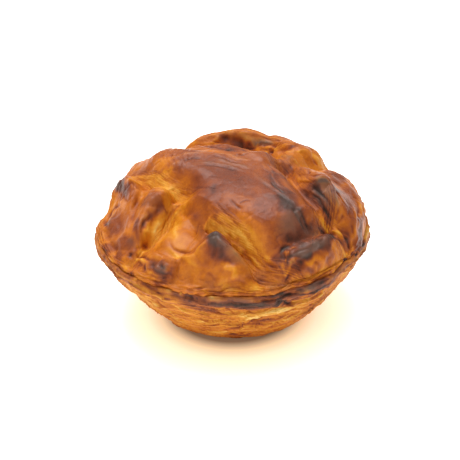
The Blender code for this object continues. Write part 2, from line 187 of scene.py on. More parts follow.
# The case's relief: how its layers wander (cell, size, seed), and its shelves of flakes (spacing,
# height, cell, seed)
LEVEL_WAVES = [(14.0, 1.8, 51), (5.0, 0.9, 52), (2.2, 0.35, 53)]
SHELVES = [(3.1, 1.0, 9.0, 71), (1.7, 0.7, 5.0, 72), (0.95, 0.35, 3.0, 73)]
RIM_BULGE = 0.4
SEAM_FILL_CASE = 1.5

# ---- Colours, surroundings and camera ---------------------------------------------------------
BAKE_TONES = [(0.00, (234, 196, 112)), (0.14, (220, 160, 60)), (0.28, (206, 130, 28)),
              (0.42, (184, 102, 18)), (0.54, (158, 80, 19)), (0.66, (130, 61, 24)),
              (0.78, (99, 44, 21)), (0.90, (67, 33, 19)), (1.00, (42, 26, 19))]
# The grey of ashen, charred crust, also used to paint a grey sheen of highlights on crests and ridges
ASH_AND_SHEEN_GREY = (104, 78, 66)
FLOOR_REACH = 3.0
# The floor's colour and the light it gives off: a painted contact shadow at the pie's foot, then a painted
# warm glow of light bounced from the pie, fading to white
FLOOR_SHADOW_AND_GLOW = [(0.25, (118, 92, 70)), (0.31, (212, 191, 156)), (0.37, (244, 221, 194)),
              (0.45, (249, 236, 213)), (0.64, (255, 254, 250))]    # by distance in tenths of a metre
GLOW_FORWARD = 10.0 * MM
SKY_LEVELS = {"From Min": -0.3, "From Max": 1.0, "To Min": 0.18, "To Max": 0.74}
TARGET_HEIGHT = 30.0 * MM
DISTANCE = 0.65
ELEVATION = math.radians(30.0)
IMAGE = 460
FOCAL_PIXELS = 1508.65
MIDDLE_COLUMN = 230.7
MIDDLE_ROW = 238.8

# ---- Browning, painted shade and highlights, and marks, one row each --------------------------
# These four tables weren't written by hand. The ovals and paths were drawn on the photo and
# turned into mm by another program. The bakes of the ovals were then fitted to the photo's
# brightness by a program. The rest of each row was chosen one by one.
#
# Places that baked more or less than their surroundings, and places with painted shade where they lie
# in shadow and with painted highlights and grey sheen where light falls on them: middle, turn, half
# length and half width, then the bake and shading reached, how fully, and how grey it is, from ash
# and from painted sheen. On the case x is a bearing and y a height.
Patch = namedtuple("Patch", "x y turn length width bake hold ash")

# Single thin ridges and cracks: a path, half width and height, then what it adds to the bake and
# shading and to the greyness. Darker marks in cracks, holes, slits and gaps paint shade over the
# crust's own darker colour there, and lighter and greyer marks on ridges and lips paint highlights
# and sheen over its paler colour. On the case x runs round a circle of CASE_CIRCLE and y is a height.
Mark = namedtuple("Mark", "path width height bake ash")


def read_rows(text):
    """Each row's name and its other words. A line that starts with a space goes on with the row."""
    for row in text.strip().replace("\n ", " ").split("\n"):
        name, *words = row.split()
        yield name, words


def read_patches(text):
    return {name: Patch(*map(float, words)) for name, words in read_rows(text)}


def read_marks(text):
    """Each row has the four numbers first, then the corners of the path as x,y."""
    marks = {}
    for name, words in read_rows(text):
        path = [tuple(map(float, corner.split(","))) for corner in words[4:]]
        marks[name] = Mark(path, *map(float, words[:4]))
    return marks


# Among these, the grey crests of the right, rear and front flaps paint highlights and sheen.
LID_PATCHES = read_patches("""
mound_top -3 -9.7 -56 25.8 12.1 0.71 0.85 0
mound_back_edge -10.3 5.8 7 17.8 6.2 0.64 0.8 0.1
mound_centre 4.3 -26.9 -43 10.3 5 0.53 0.8 0
mound_low_orange 6.5 -34.8 -40 10 2 0.43 0.9 0
mound_low_right 18.9 -39.8 -12 4.7 2.9 0.66 0.8 0
mound_left_end -22.6 -2 -39 6.5 4.4 0.57 0.8 0
mound_left_low -13.7 -20.1 -59 6.7 1.8 0.58 0.8 0
burnt_patch 24.7 -32.4 49 7.1 3.4 0.65 0.9 0.75
mound_right_edge 22.3 -17.3 -62 15.3 3.1 0.82 0.85 0.1
mound_red 13.2 -30.5 -58 6.4 3.6 0.7 0.7 0
mound_corner_dark 28.1 -35.6 46 4.3 2.8 0.88 0.9 0.1
cut_yellow -26.8 -1.7 -38 9.9 4.7 0.2 0.9 0
cut_yellow_end -36.9 4.1 -26 6.6 2.9 0.49 0.9 0
cut_gold -21.6 -8.7 -48 6.8 3.2 0.31 0.8 0
left_tip_dark -47.2 10 -59 7 1.1 0.94 0.9 0.25
left_lobe_brown -43.8 1.4 -61 7.5 1.9 0.79 0.8 0
left_lobe_orange -41.3 -9.5 88 9 3 0.5 0.9 0
left_lobe_low -47.9 -10.8 -80 8.5 3.8 0.74 0.8 0.05
left_lobe_foot -44.8 -26.7 -59 5.6 2.4 0.76 0.8 0.05
inner_lobe_cap -33 -11.3 -33 5.5 2.8 0.53 0.9 0.25
inner_lobe_tip -28.6 -11.2 29 1.9 1 0.54 0.8 0.25
inner_lobe_mid -35.3 -19.8 60 7.6 2.3 0.4 0.9 0.1
inner_lobe_face -33.4 -21.6 65 8 1.5 0.24 0.9 0
inner_lobe_gold -28.5 -19.3 64 7.5 3.5 0.22 0.9 0
vent_pale -22.6 -25 -89 11 3 0.34 0.9 0
vent_orange -16.3 -29.8 -84 10.3 4 0.48 0.9 0
vent_floor -28.2 -34.1 -55 9 4.3 0.42 0.8 0
vent_foot_pale -18.8 -42.7 -38 9.1 1.7 0.27 0.9 0
front_flap_tip -7.9 -41.9 -61 5.5 2.5 0.95 0.95 0.35
front_flap_dark -4 -46.6 -33 5 2.5 0.9 0.9 0.3
front_flap_crest 1.1 -48.5 -29 4.7 1.3 0.44 0.8 0.45
front_flap_brown -6.4 -47.6 -25 4.6 2 0.69 0.8 0
front_flap_orange -10.5 -49 -30 4.7 1.8 0.46 0.9 0
front_flap_gold -3.4 -52 -17 4.9 1.3 0.43 0.9 0
valley_face 8.1 -39.5 -39 13.3 1.4 0.3 0.9 0
valley_face_low 15.9 -46.6 -37 5.9 1.4 0.41 0.8 0
front_low_left -17.8 -48.3 -26 5.9 1.9 0.25 0.8 0
front_low_mid -6.2 -53.5 -14 7.8 1.1 0.3 0.8 0
front_low_right 7.4 -53.9 17 7.9 1.6 0.38 0.8 0
front_low_sheen 12.9 -48.6 -21 3.5 2.7 0.44 0.8 0.15
burnt_ridge_top 36.4 -34.7 49 9.5 1.2 0.95 0.95 0.35
burnt_ridge_low 26.3 -43.6 32 5.6 1 0.95 0.95 0.35
burnt_hollow 30.2 -38 47 5.8 2.5 0.93 0.9 0.4
burnt_blisters 22.5 -42.9 22 3.7 2.2 0.85 0.8 0.25
ridge_face 35.7 -38.4 45 13.3 1 0.47 0.95 0
ridge_face_low 26.8 -46.2 29 6.9 1 0.66 0.9 0
right_flap_crest 39.3 -11.4 -45 6.4 3.1 0.42 0.95 0.7
right_flap_dark 36.3 -13.3 -55 8.7 1.7 0.95 0.9 0.1
right_flap_face 30.9 -18.4 -77 11.2 4.4 0.66 0.9 0
right_cut_gold 27.8 -12 -77 13.8 4.6 0.54 0.9 0
right_cut_foot 39.6 -24.1 21 6.1 1.5 0.49 0.9 0
right_side_orange 49.3 -0.5 73 12.2 2.4 0.71 0.8 0
right_side_brown 48.5 -18.1 68 7.5 1.9 0.6 0.8 0
right_shoulder 46.2 12.6 82 9.2 3.2 0.74 0.8 0.1
cut_rear_gold 27.4 -1.2 18 9.8 2.6 0.46 0.9 0
rear_right_lobe 22 13.5 40 7.2 3.6 0.56 0.9 0.15
rear_corner_lobe 32.8 24.9 60 6.8 2.7 0.42 0.9 0
rear_corner_edge 38.3 29.3 24 3.2 1.8 0.24 0.9 0
rear_right_rim 31.6 33.8 4 4 2.6 0.63 0.8 0
rear_slit_dark 3.8 42.4 -26 6.2 1 0.54 0.95 0.15
rear_flap_grey 14.7 38.9 -31 5.1 1.4 0.24 0.8 0.8
rear_flap_top 1.2 44.9 -18 10.6 1 0.32 0.8 0.2
rear_flap_left -10.8 44.9 8 5.3 2.1 0.47 0.8 0.05
rear_flap_red -1.9 25.7 -45 6.5 3 0.83 0.8 0
rear_opening_gold 14.4 35.4 -27 6.1 1 0.41 0.95 0
rear_opening_left -7.4 20.6 55 8.6 3.9 0.54 0.95 0
rear_rim_brown 20.2 39.1 -27 10.9 2.5 0.44 0.8 0.05
rear_left_slope -29.6 11.1 -17 5.5 3 0.36 0.8 0
rear_left_brown -37.6 16.5 -45 6.1 2.4 0.54 0.8 0
rear_left_orange -33.8 8.8 -42 7 1.2 0.33 0.8 0
knob_dark -29.4 -44.7 -39 5 2.1 0.74 0.9 0.25
knob_right -23 -47.3 11 2.2 1.8 0.51 0.8 0
knob_left_gold -37.1 -38.3 -52 6.9 1.4 0.47 0.9 0
valley_gold 7.7 -41.9 -39 6.7 1 0.24 0.9 0
valley_gold_top 2.5 -36.5 -38 4.2 1 0.24 0.9 0
apex_orange -7.4 -27.2 -40 3.2 1 0.24 0.9 0
burnt_ridge_end 41.5 -30.8 52 6.8 1.1 0.95 0.9 0.2
right_fold_dark 47.9 -24.3 58 3.6 1 0.68 0.8 0
lobe_foot_dark 18.8 -4.9 72 3.4 2.4 0.83 0.9 0
shoulder_dark 45.6 -9 81 5.1 1.8 0.85 0.8 0.05
mound_right_dark 22.6 -26.3 -55 6.1 2.9 0.94 0.85 0.1
left_rim_orange -45.1 -35.9 -55 4.8 1 0.24 0.8 0
flap_foot_orange -1.8 -50.8 -19 3.2 1.1 0.24 0.8 0
left_edge_light -28.1 5.8 -30 3.2 1.3 0.24 0.8 0
slit_end_dark 8.7 39.9 -34 2.6 1 0.84 0.9 0
lobe_foot_gold -38.6 -30 67 2.8 1.3 0.24 0.8 0
lobe_body_brown -39.6 -22.3 87 4.7 1.6 0.79 0.8 0
valley_end_red 18.1 -44.5 -6 2.1 1.4 0.77 0.8 0
mound_foot_dark 23.6 -37.4 36 3.1 1.3 0.91 0.9 0.05
lid_lip_red 3 -56.5 4 9.9 1 0.75 0.8 0
left_rim_brown -46.6 -30.6 -66 3.3 1.3 0.67 0.8 0
rim_side_brown 52.1 -20.6 77 4.8 1.1 0.55 0.9 0.05
rear_rim_right 42.1 17 88 5.2 1.7 0.65 0.8 0
valley_light_end -2.2 -28.8 -34 3.6 1 0.24 0.8 0
rim_far_right 54.2 -15.4 77 9.5 1.4 0.81 0.9 0
front_lip_orange -13.7 -55.3 -18 3.9 1 0.74 0.8 0
inner_tip_gold -27.2 -9.3 28 2.5 1 0.24 0.8 0
ridge_back_dark 35.7 -30.8 43 7.7 3 0.68 0.9 0.15
right_edge_brown 51.6 -7.2 78 12.7 2 0.71 0.8 0
mound_shade 16.5 -23.7 -61 3.3 2.1 0.75 0.8 0
apex_side_gold -3.4 -31.6 -41 2.9 1 0.16 0.8 0
ridge_face_gold 31.3 -42.1 38 3.3 1 0.24 0.8 0
ridge_face_end 38.2 -37.7 39 3.6 1 0.65 0.8 0
knob_low_brown -27.1 -49.2 -17 4.1 1 0.72 0.8 0
corner_shadow 31.4 -31 40 3.9 1 0.85 0.9 0.1
flap_foot_light 40.5 -21.5 26 2.6 1 0.24 0.8 0
left_rim_gold -50.9 -23 89 3.8 2.1 0.67 0.8 0
""")

CASE_PATCHES = read_patches("""
rim_band_dark 280.3 32.1 -9 12.7 2.6 0.77 0.9 0.1
rim_band_left 260.3 34.6 -3 7.6 1 0.49 0.8 0.1
rim_band_far_left 243.2 35.5 -8 6.4 1 0.28 0.8 0.05
rim_opening 292.1 34.7 -18 3.9 1.3 0.36 0.95 0.05
rim_grey 305.8 35.7 5 3.5 1 0.67 0.9 0.6
rim_right_dark 320.8 35.9 1 6.7 1 0.55 0.8 0.2
pale_band 281.6 19.2 8 17.1 3.8 0.24 0.9 0
pale_band_left 262.6 22.7 -22 8.9 3.5 0.42 0.8 0
fissure 280 15.1 12 13.5 2.6 0.47 0.95 0
low_gold 270.7 7.5 -2 18.7 3.2 0.27 0.8 0
left_gold 230.7 23.5 44 14 6.5 0.33 0.8 0
left_brown 225 32.4 23 5.9 4.7 0.25 0.8 0
left_low 236.3 9.5 -47 9.5 8.2 0.24 0.8 0
front_left_dark 255.6 30 -44 5.7 4.2 0.58 0.8 0.1
right_low_gold 308.5 24.1 22 7.8 5.5 0.29 0.8 0
foot_brown 260.1 3.4 -3 11.5 2 0.44 0.8 0
right_rim_low 310.6 33.2 -21 5.6 3.6 0.77 0.9 0
lip_red_low 283.8 35.9 1 5.4 1 0.66 0.9 0
eye_right_dark 297.5 33.2 -5 2.6 1.5 0.75 0.8 0
right_low_brown 303.5 11.2 -29 8 5.7 0.26 0.8 0
""")

LID_MARKS = read_marks("""
tip_edge 0.5 0.45 -0.22 0 -44.1,7 -41.4,4.2 -39.6,4.5 -37.4,6.4
tip_shadow 0.7 -0.3 0.1 0 -43.7,5.2 -40.9,2.7 -39.2,1.2 -37,0
lobe_gap 0.8 -0.5 0.12 0 -38.8,0 -39.8,-3.9 -39.9,-7.1 -41.1,-11.7 -41.3,-17
lobe_rim_light 0.6 0.25 -0.08 0.1 -37.2,-1.2 -38.7,-5.1 -38.8,-12.1 -39.8,-14.8
inner_cap_edge 0.75 -0.8 0.34 0 -27.1,-10.6 -29.8,-12.9 -32.2,-15.1 -34.2,-17 -36.4,-19.9 -36.9,-23.4
 -37.3,-26.1 -37.2,-27.4
inner_cap_light 0.8 0.35 -0.06 0.25 -30.7,-12.9 -33,-15.1 -35.5,-17.7 -37.5,-21 -38.2,-24.1
layer_one 0.55 0.55 -0.16 0 -25.5,-10.5 -29.3,-13.2 -31.6,-15.5 -33.4,-17.7 -35,-20.9 -36.3,-24.4
 -36.4,-26.8
layer_two 0.5 -0.5 0.1 0 -28.6,-12.8 -30.7,-14.7 -32.4,-17.3 -34,-20.5 -34,-22.6 -35.2,-25.4
layer_three 0.6 0.4 -0.14 0 -25.1,-11.3 -29.2,-14.3 -31.5,-17.3 -32.9,-20.8 -33.3,-22.9
layer_four 0.45 -0.45 0.12 0 -22.3,-10.1 -25,-11.6 -27.5,-13.5 -28.5,-15.7 -28.8,-18.2 -29.2,-21.7
layer_five 0.6 0.4 -0.12 0 -21.4,-11.9 -23.8,-12.4 -25.4,-13.5 -26.3,-15.7
slash_one 0.5 -0.35 0.18 0 -24.7,-9.4 -23.7,-7.5 -21.6,-5.2
slash_two 0.45 -0.35 0.2 0 -23.4,-10.5 -21.5,-10.1 -19.7,-7.5
cut_wrinkle 0.6 -0.3 0.16 0 -27.6,-4 -24.7,-2 -22.8,-2
cut_wrinkle_low 0.5 -0.3 0.16 0 -22.7,-2.8 -19.8,-4.4 -18.1,-6.3 -16.3,-8.5
cut_wrinkle_top 0.5 0.3 -0.1 0 -30.3,2.7 -28.4,-3.2 -25.1,-1.2 -22.8,-1.2
cut_light 0.9 0.2 -0.1 0 -32.3,-5.6 -29.2,-7.5 -26.2,-7.1
flank_red 1.3 -0.1 0.12 0 -12.2,-18.7 -10.9,-18.1 -8.1,-16.5 -7.1,-12.3 -6.6,-9
flank_low_red 1.5 0 0.16 0 -19.7,-12.5 -16.9,-17.4 -14.5,-21.8 -12.4,-24.6
crack_one 0.7 -0.7 0.45 0 -41.6,-31.9 -42.3,-33.3
crack_two 0.6 -0.7 0.34 0 -41.4,-32.2 -39.8,-32.9 -36.2,-33.9 -33.8,-39.7 -31.3,-41.7
crack_three 0.6 -0.6 0.34 0 -40.3,-31.6 -38.1,-30.4 -36.9,-29.7 -35.6,-26.7 -34.8,-24.7
crack_light 0.6 0.5 -0.18 0 -40.3,-33.1 -36.6,-36 -34.4,-40 -32.5,-42.3
crack_four 0.6 -0.7 0.4 0 -34.2,-43.7 -35.3,-41.8 -34.7,-40.5
crack_five 0.5 -0.5 0.25 0 -37.7,-35.1 -36.8,-38 -35.6,-41.5
crack_light_two 0.5 0.4 -0.15 0 -33.5,-41.5 -33.6,-43.5 -32.7,-45.1
knob_ring_one 0.5 -0.5 0.22 0.1 -31.2,-42.1 -31.3,-44.1 -30.2,-46.2 -28.2,-47.2 -25.6,-48.1 -23.2,-47.9
knob_ring_two 0.5 0.4 -0.12 0.3 -29.3,-43.6 -29.6,-45.1 -28.5,-46.3 -26.7,-47.1 -24.7,-47.4
knob_ring_three 0.45 -0.4 0.18 0.2 -27.7,-44.8 -27.9,-46 -25.8,-46.9
knob_light 0.7 0.4 -0.2 0.5 -26.4,-45.7 -25.8,-46.9 -26.4,-47.2
knob_low_one 0.45 0.4 -0.22 0 -33.2,-44.4 -31,-46.8 -28.3,-48.2 -25.6,-48.9
knob_low_two 0.45 -0.4 0.22 0 -32.9,-45.5 -30.6,-47.7 -28,-48.5 -25,-49.3
knob_low_three 0.45 0.4 -0.18 0 -32,-47.2 -29.7,-48.4 -27.2,-49.3
knob_dark_side 0.9 -0.3 0.26 -0.1 -23.5,-46.9 -23.2,-47.9 -23.7,-49.4
lip_light 0.6 0.5 -0.2 0 -18,-52.7 -16.4,-54.4 -14.7,-55.3 -12.4,-55.9 -8.9,-56.1
lip_light_two 0.9 0.3 -0.06 0.15 -6.9,-54.5 -4.8,-55.3 -1.7,-55.9 1.7,-55.8
front_crack 0.6 -0.5 0.22 0 -10.6,-50.9 -8.4,-52.1 -6.1,-53.4 -3.8,-54
front_crack_light 0.7 0.5 -0.16 0 -11.7,-50.1 -9,-51.2 -6.7,-52.6 -4.4,-53.8
front_pale_lump 1.6 0.7 -0.22 0 -0.9,-53.3 0.2,-53.7 3.2,-54.1
front_crack_two 0.7 -0.5 0.22 0 -2.3,-54.5 1.1,-54.8 3.2,-54.5 5.8,-54.3
front_line 0.8 -0.3 0.14 0 -19.4,-44.6 -17.3,-47.1 -14.9,-48.9 -12.4,-50.5
front_line_light 0.8 0.3 -0.1 0 -18,-45.2 -16.1,-47.2 -13.6,-49 -11.1,-50.5
front_fold 1 -0.3 0.1 0 -23.7,-44.3 -20.5,-44.9 -17.8,-47.9 -16.5,-49.9 -14.8,-52.1
front_fold_two 0.9 0.4 0 0.25 -11.1,-53 -8.3,-54.2 -6.3,-55.2
front_red 1.2 -0.2 0.1 0 -13.3,-50.6 -10.6,-52.3 -7.6,-53.8 -5.1,-54.6
front_sheen 1.1 0.4 -0.04 0.4 14.3,-53.4 16.7,-52 18.7,-51.1 20.6,-51.2 23.9,-51.1
front_red_mid 1 -0.3 0.16 0 4.9,-53.7 7.9,-52.9 12.4,-48.9 14.6,-48.9
front_light_mid 1 0.3 -0.14 0 5.9,-54.9 8.4,-55 12.7,-53.6
front_light_low 0.8 0.3 -0.1 0 0.9,-56.8 4.1,-56.6 7.1,-56.4
bubble_ring 0.5 -0.45 0.14 0 -24.8,-32.5 -23.9,-36.6 -21.8,-38.5 -19.6,-39.4 -15.9,-40.9 -14.2,-41.9
 -12.5,-40.5
bubble_ring_pale 0.7 0.45 -0.14 0 -24.5,-37.6 -22.1,-39.9 -18.9,-43.8 -16.3,-45.4 -14.9,-45.2
bubble_streak 1.2 0.4 -0.16 0 -23.5,-14.5 -22.5,-23.8 -22.4,-30 -22.6,-34.4
bubble_side 0.5 -0.2 0.06 0 -21.7,-17.1 -20.8,-26.4 -20.8,-32
bubble_right 0.8 -0.4 0.12 0 -13.2,-33.3 -11.7,-34.6 -10.8,-39.9
vent_lip 0.7 0.9 -0.1 0 -12.1,-33.7 -9.8,-25.7 -8.6,-25.3 -7.1,-25.8 -5.4,-26.6
vent_lip_red 0.6 -0.5 0.22 0 -11.7,-33.8 -9.2,-25.5 -7.9,-25.6 -6.3,-26
vent_corner_dark 0.9 -0.5 0.2 0 -12.7,-23.6 -12.9,-32.6 -10.7,-26.6
flap_left_light 0.6 0.5 -0.16 0 -9.3,-40.3 -10.6,-41.8 -11.5,-43.4 -13,-44.4 -14.3,-45.1
flap_tip 1.3 0 0.4 0.3 -7.9,-41.7 -6.3,-44.1
flap_light 1 0.4 -0.2 0.45 -7.9,-41.7 -5.5,-44.2 -3.7,-45.3 -0.4,-47 1.4,-48.6 3.1,-50
flap_dark_line 0.7 -0.8 0.16 0 -8.5,-40.5 -5.5,-42.7 -2.4,-43.6 -0.6,-46 4.1,-39.4 7.1,-42.3 10.7,-45.5
 12.7,-47.3
flap_wrinkle_one 0.5 -0.3 0.06 0 -7.1,-44 -5.1,-45.6 -3.3,-47.3
flap_wrinkle_two 0.5 0.3 -0.1 0.2 -6.1,-43.7 -3.9,-45.6 -2.3,-47
flap_centre_dark 1.2 -0.2 0.14 0 -5.7,-46.6 -5.1,-47.6 -4.1,-49.3
face_one 0.55 0.5 -0.12 0 -4.2,-41.8 0.4,-35.6 4.1,-38.7 8.2,-42.1 11.2,-45 13,-47.2
face_two 0.45 -0.5 0.14 0 -0.4,-34.2 2.8,-37 6.7,-40.2 9.6,-42.9 12.5,-45.7 15.7,-47.9
face_three 0.45 -0.5 0.16 0 4,-38.4 8,-41.8 11.6,-44.2 14.2,-46.2 15.9,-48.2
face_four 0.5 0.5 -0.1 0 5.5,-38.9 8.6,-41.3 12,-44.1 15.1,-46.9 17.5,-48.6
face_five 0.45 -0.5 0.24 0 6.9,-39.8 9.6,-42.2 12.6,-44.3 15.6,-46.4 17.7,-48.2 19.6,-49.2
face_six 0.5 0.5 -0.14 0 13,-43.4 16,-45.5 18.1,-47.4 20.2,-48.7
face_seven 0.45 -0.5 0.26 0 14,-44.5 16.5,-46.4 18.4,-47.9 20.6,-49.3
face_eight 0.55 0.5 -0.16 0.2 18.1,-46.1 19.6,-47.7 20.6,-48.5 21.8,-49.1
face_nine 0.45 -0.5 0.34 0 18.6,-46.9 19.9,-48.2 20.5,-49.1
face_tip 0.9 -0.7 0.4 0 21.1,-48.6 21.8,-49.1
face_foot 0.6 -0.5 0.2 0 13,-47.2 15.4,-48.1 17.4,-49.2 18.9,-50 21.7,-49.6 22.5,-48.8
face_foot_light 0.5 0.4 -0.12 0 13.6,-48 15.9,-48.8 17.9,-49.8 20.6,-50.6
mound_mark_one 0.6 -0.3 0.14 0 -0.4,-21.4 1.2,-24.4 3,-26.9 4.4,-27.8
mound_mark_two 0.5 -0.3 0.14 0 3.4,-25.3 4.8,-23.9 6.5,-23.1 7.7,-24.4
mound_mark_three 0.5 0.25 -0.05 0 2.8,-18.9 4.4,-20.9 6.1,-20.9
burnt_edge_one 0.6 -0.5 0.22 0.2 24.9,-28 26.5,-30 27.5,-31 28.8,-31.8 29.7,-32.5 31,-32.6
burnt_edge_two 0.6 -0.3 0.2 0 27.1,-27.3 28.7,-29.3 30.2,-30.4 31.5,-31.1
burnt_edge_light 0.45 0.3 -0.14 0.3 25.7,-28.7 27.6,-30.4 27.9,-31.7
mound_side_light 0.9 0.35 -0.04 0.25 8.4,-0.4 11,-6.1 13.9,-10.8 17.1,-14.7 20.2,-19.2 23.5,-21.8 26.5,-24.6
 28.6,-28.3
mound_side_dark 1.2 -0.2 0.1 0.15 11.2,-9.9 14.3,-13.8 17.4,-18.3 21.3,-22.5 24.7,-26.1
mound_side_line 0.5 -0.6 0.3 0 16.6,-10.9 18,-14.1 20.3,-18.6 23.2,-19.8
mound_side_pale 0.5 0.5 -0.2 0 16.8,-1.6 17.7,-7.4 19.4,-12.1 21.6,-15.7 24,-17.5
back_edge_light 0.8 0.4 -0.16 0.15 -27.7,8.4 -25.3,10.8 -21.8,12.6 -16.9,13.7 -10.3,14.7 -5.2,20.9 -0.8,12.2
 2.8,8.8 7.3,7.9 11.5,7.6
back_edge_dark 0.8 -0.4 0.12 0 -20.3,7 -16.8,9.9 -12.6,10
back_edge_grey 0.9 0.35 -0.06 0.5 -9,9.9 -4.6,8.8 -0.4,5.3 4.1,4 8.8,0.4
back_edge_line 0.6 -0.4 0.16 0 -7.2,11.7 -3,9.9 0.2,6.5 4.6,5.6
back_edge_low 0.8 0.3 -0.05 0.3 -16.4,4.3 -10.6,6.8 -4.6,5.6 1.3,2.3 7.1,-1.6
back_edge_low_dark 0.8 -0.3 0.1 0 -14.3,2 -9.1,3.9 -3.2,3.2 2.8,-1.2
back_mid_line 0.7 -0.2 0.08 0 -25.4,3.9 -21.6,4.3 -17.5,4.7
back_mid_light 0.9 0.3 -0.1 0.1 -26.8,5.4 -24.1,6.6 -20.6,8.5
opening_left_light 0.8 0.4 -0.18 0 -14.3,15.3 -11.6,24.9 -7.3,22.2 -3.8,20.8
opening_left_dark 1.2 -0.6 0.28 0 -14.5,30.6 -9.7,30.3 -6.6,27.2 -3,24 1.2,20.7
opening_line 0.6 0.4 -0.2 0 -13.1,43.3 -9.7,43.5 -7.1,45.1 -5.2,45.3
slit_dark 1.2 -0.9 0.4 0 -5.5,45.9 -1.4,45.1 2.8,43.4 6.4,41.7
slit_lower_red 1.2 -0.2 0.2 0 -0.6,29.5 3.2,26.7 6.9,19.1
slit_edge_light 0.7 0.5 -0.2 0.3 -9.5,44.7 -5.2,46 -0.6,45.1 5.2,43.3 9.2,41.3 11.5,39.9
slit_end_pale 0.7 0.4 -0.06 0.4 8.8,41.3 10,40.3 11.7,39.4
hole_one 0.9 -0.8 0.34 0 3,18.6 4.5,12.6 6.2,12.3
hole_two 1.2 -0.8 0.3 0 16.8,33.9 18.9,31.9
hole_two_light 0.7 0.5 -0.2 0 14.7,35.8 17.6,35.2 20,33 20.9,31.4
hole_line 0.6 -0.5 0.28 0 10.6,39 12.8,38.2 15.3,37.6 17.6,36.9 19.7,34 21.1,31.8
rear_line_dark 0.8 -0.6 0.24 0 21.8,31.3 24.2,29.3 26.7,29 29.9,31.4 30.7,30.6
rear_line_light 0.7 0.5 -0.18 0.1 22.4,28.4 25.8,23.6 29.9,26.8 32.5,27.6 35.3,28.7
rear_top_line 0.5 -0.3 0.12 0 3.4,44.4 9.4,42.3 15.1,40.5 20.6,36.5 25.8,32.8
rear_grey_line 0.6 0.4 -0.12 0.5 11.5,39.9 14.7,39.1 17.6,37.7 19.5,34.6
lobe_crest_light 1 0.4 -0.12 0.45 21.4,24.3 25.3,19 26.8,18.4
lobe_side_light 0.7 0.5 -0.18 0.1 26.8,18.4 28.8,17.6
lobe_dark 1.2 -0.3 0.22 0 24.6,14.9 26.1,13.2 26.6,7.5
lobe_wrinkle_one 0.5 -0.4 0.16 0 15.5,6.6 17.1,2 18.1,-3.2
lobe_wrinkle_two 0.5 0.3 -0.1 0.2 13.6,5.1 15.3,0 16.6,-4.8
lobe_wrinkle_three 0.5 -0.3 0.12 0 18.4,10.4 21.5,14.7 23.3,13.4
lobe_red 1 -0.3 0.14 0 13.8,0.4 15.6,-2 17.3,-3.6
corner_dark 0.8 -0.5 0.25 0 36,26.3 37.4,27.3 38.2,26.4
corner_wrinkle 0.6 -0.5 0.22 0 32.5,2.8 33.1,-0.8
right_cut_light 0.6 0.4 -0.12 0 27.6,2 31.7,-3.6 35.2,-7.6 38.3,-7.6
right_cut_line 0.5 -0.4 0.18 0 28.2,3.2 31.2,0.4 34.1,-3.2 37,-6.4
right_cut_line_two 0.5 -0.4 0.14 0 28.1,-0.8 31,-3.2 34.1,-7.2 36.3,-8
right_flap_top_light 0.9 0.4 -0.2 0.6 33.6,-7.6 36.6,-8.3 39.5,-7.2 43.3,-7.2
right_flap_side_light 1 0.4 -0.2 0.55 42.3,-8.3 44,-11.8 44.7,-15.2 46,-16.6 45.4,-18.8
right_ridge_one 0.45 0.5 -0.2 0.1 29.6,-4.4 32.6,-9.9 35.9,-14.1 38,-16.6 39.9,-18.4 40.9,-20.2
right_ridge_two 0.45 0.5 -0.26 0.3 31.6,-6.4 34.9,-11.4 37.8,-15.2 39.4,-17 41.9,-19.2
right_ridge_three 0.45 0.5 -0.26 0.4 33.3,-8.7 37,-13.3 39.7,-16.3 42.4,-18.1
right_dark_one 0.5 -0.6 0.2 0 30.4,-6.4 33.4,-11 36.5,-14.4 38.2,-17 40.3,-19.2
right_dark_two 0.7 -0.7 0.22 0 32.6,-7.2 36.3,-11.8 39.3,-15.6 42.2,-17.7 44.3,-19.5
right_dark_three 0.6 -0.5 0.2 0 38.2,-17 40.1,-18.8 42.7,-20.5
right_face_red 1.6 -0.3 0.16 0 28.7,-5.2 31.6,-10.6 34.8,-14.8 37.6,-18.1
right_face_light 0.8 0.4 -0.16 0 33.3,-25.3 35.2,-25.1 39.3,-21.6
meeting_ridge 0.9 0.7 -0.22 0 35.3,-27.4 38.2,-24.5 43.9,-23.5 45.3,-24.1 47.5,-24.3 47,-26.5
meeting_dark 0.7 -0.7 0.34 0 36.1,-27.4 42.4,-23.6 44.1,-25.5 44.9,-26.4
meeting_dark_two 0.8 -0.7 0.36 0 46.1,-24.4 48.8,-23.6 50,-25.7
ray_one 0.5 0.4 -0.14 0 45.3,-21.9 47.5,-20.7 49.1,-19.3
ray_two 0.5 -0.4 0.2 0 44.9,-21.2 47,-19.7 48.1,-17.9
ray_three 0.5 -0.4 0.16 0 44.7,-22.9 47.8,-22 49.8,-21.5
ray_four 0.5 -0.5 0.24 0 44.5,-21.2 45.1,-19.5 46.4,-17.3
ridge_light_one 0.6 0.5 -0.3 0.6 23.4,-45.1 25.7,-43.7 28.3,-42 31.8,-39.6 35.1,-36.9 38.1,-33.3 39,-31.2
ridge_dark_one 0.5 -0.6 0.2 0.1 24.1,-44.1 27,-42 29.8,-40.7 31.7,-39.3 35.5,-36 37.6,-33.9
ridge_light_two 0.5 0.4 -0.26 0.5 26.1,-42.8 28.5,-40.8 31.1,-39 34.1,-36.6 37.4,-32.7
ridge_dark_two 0.6 -0.6 0.22 0.1 24.7,-45.2 28.2,-43.4 32.3,-40.4 35.4,-37.5 37.9,-34.5
ridge_low_light 0.5 0.4 -0.24 0.4 21.8,-46.2 23.7,-45.7 25.1,-45
blister_one 1.2 1 -0.22 -0.1 21.6,-42.9 21.9,-44.2 21.2,-44.5
blister_two 1.2 0.9 -0.42 -0.3 24.6,-41.1 25.1,-41.9
blister_three 0.9 0.7 -0.24 -0.1 22.6,-43.8 23.1,-43.9
blister_four 0.8 0.6 -0.36 -0.2 21.1,-45.8 22,-45.8
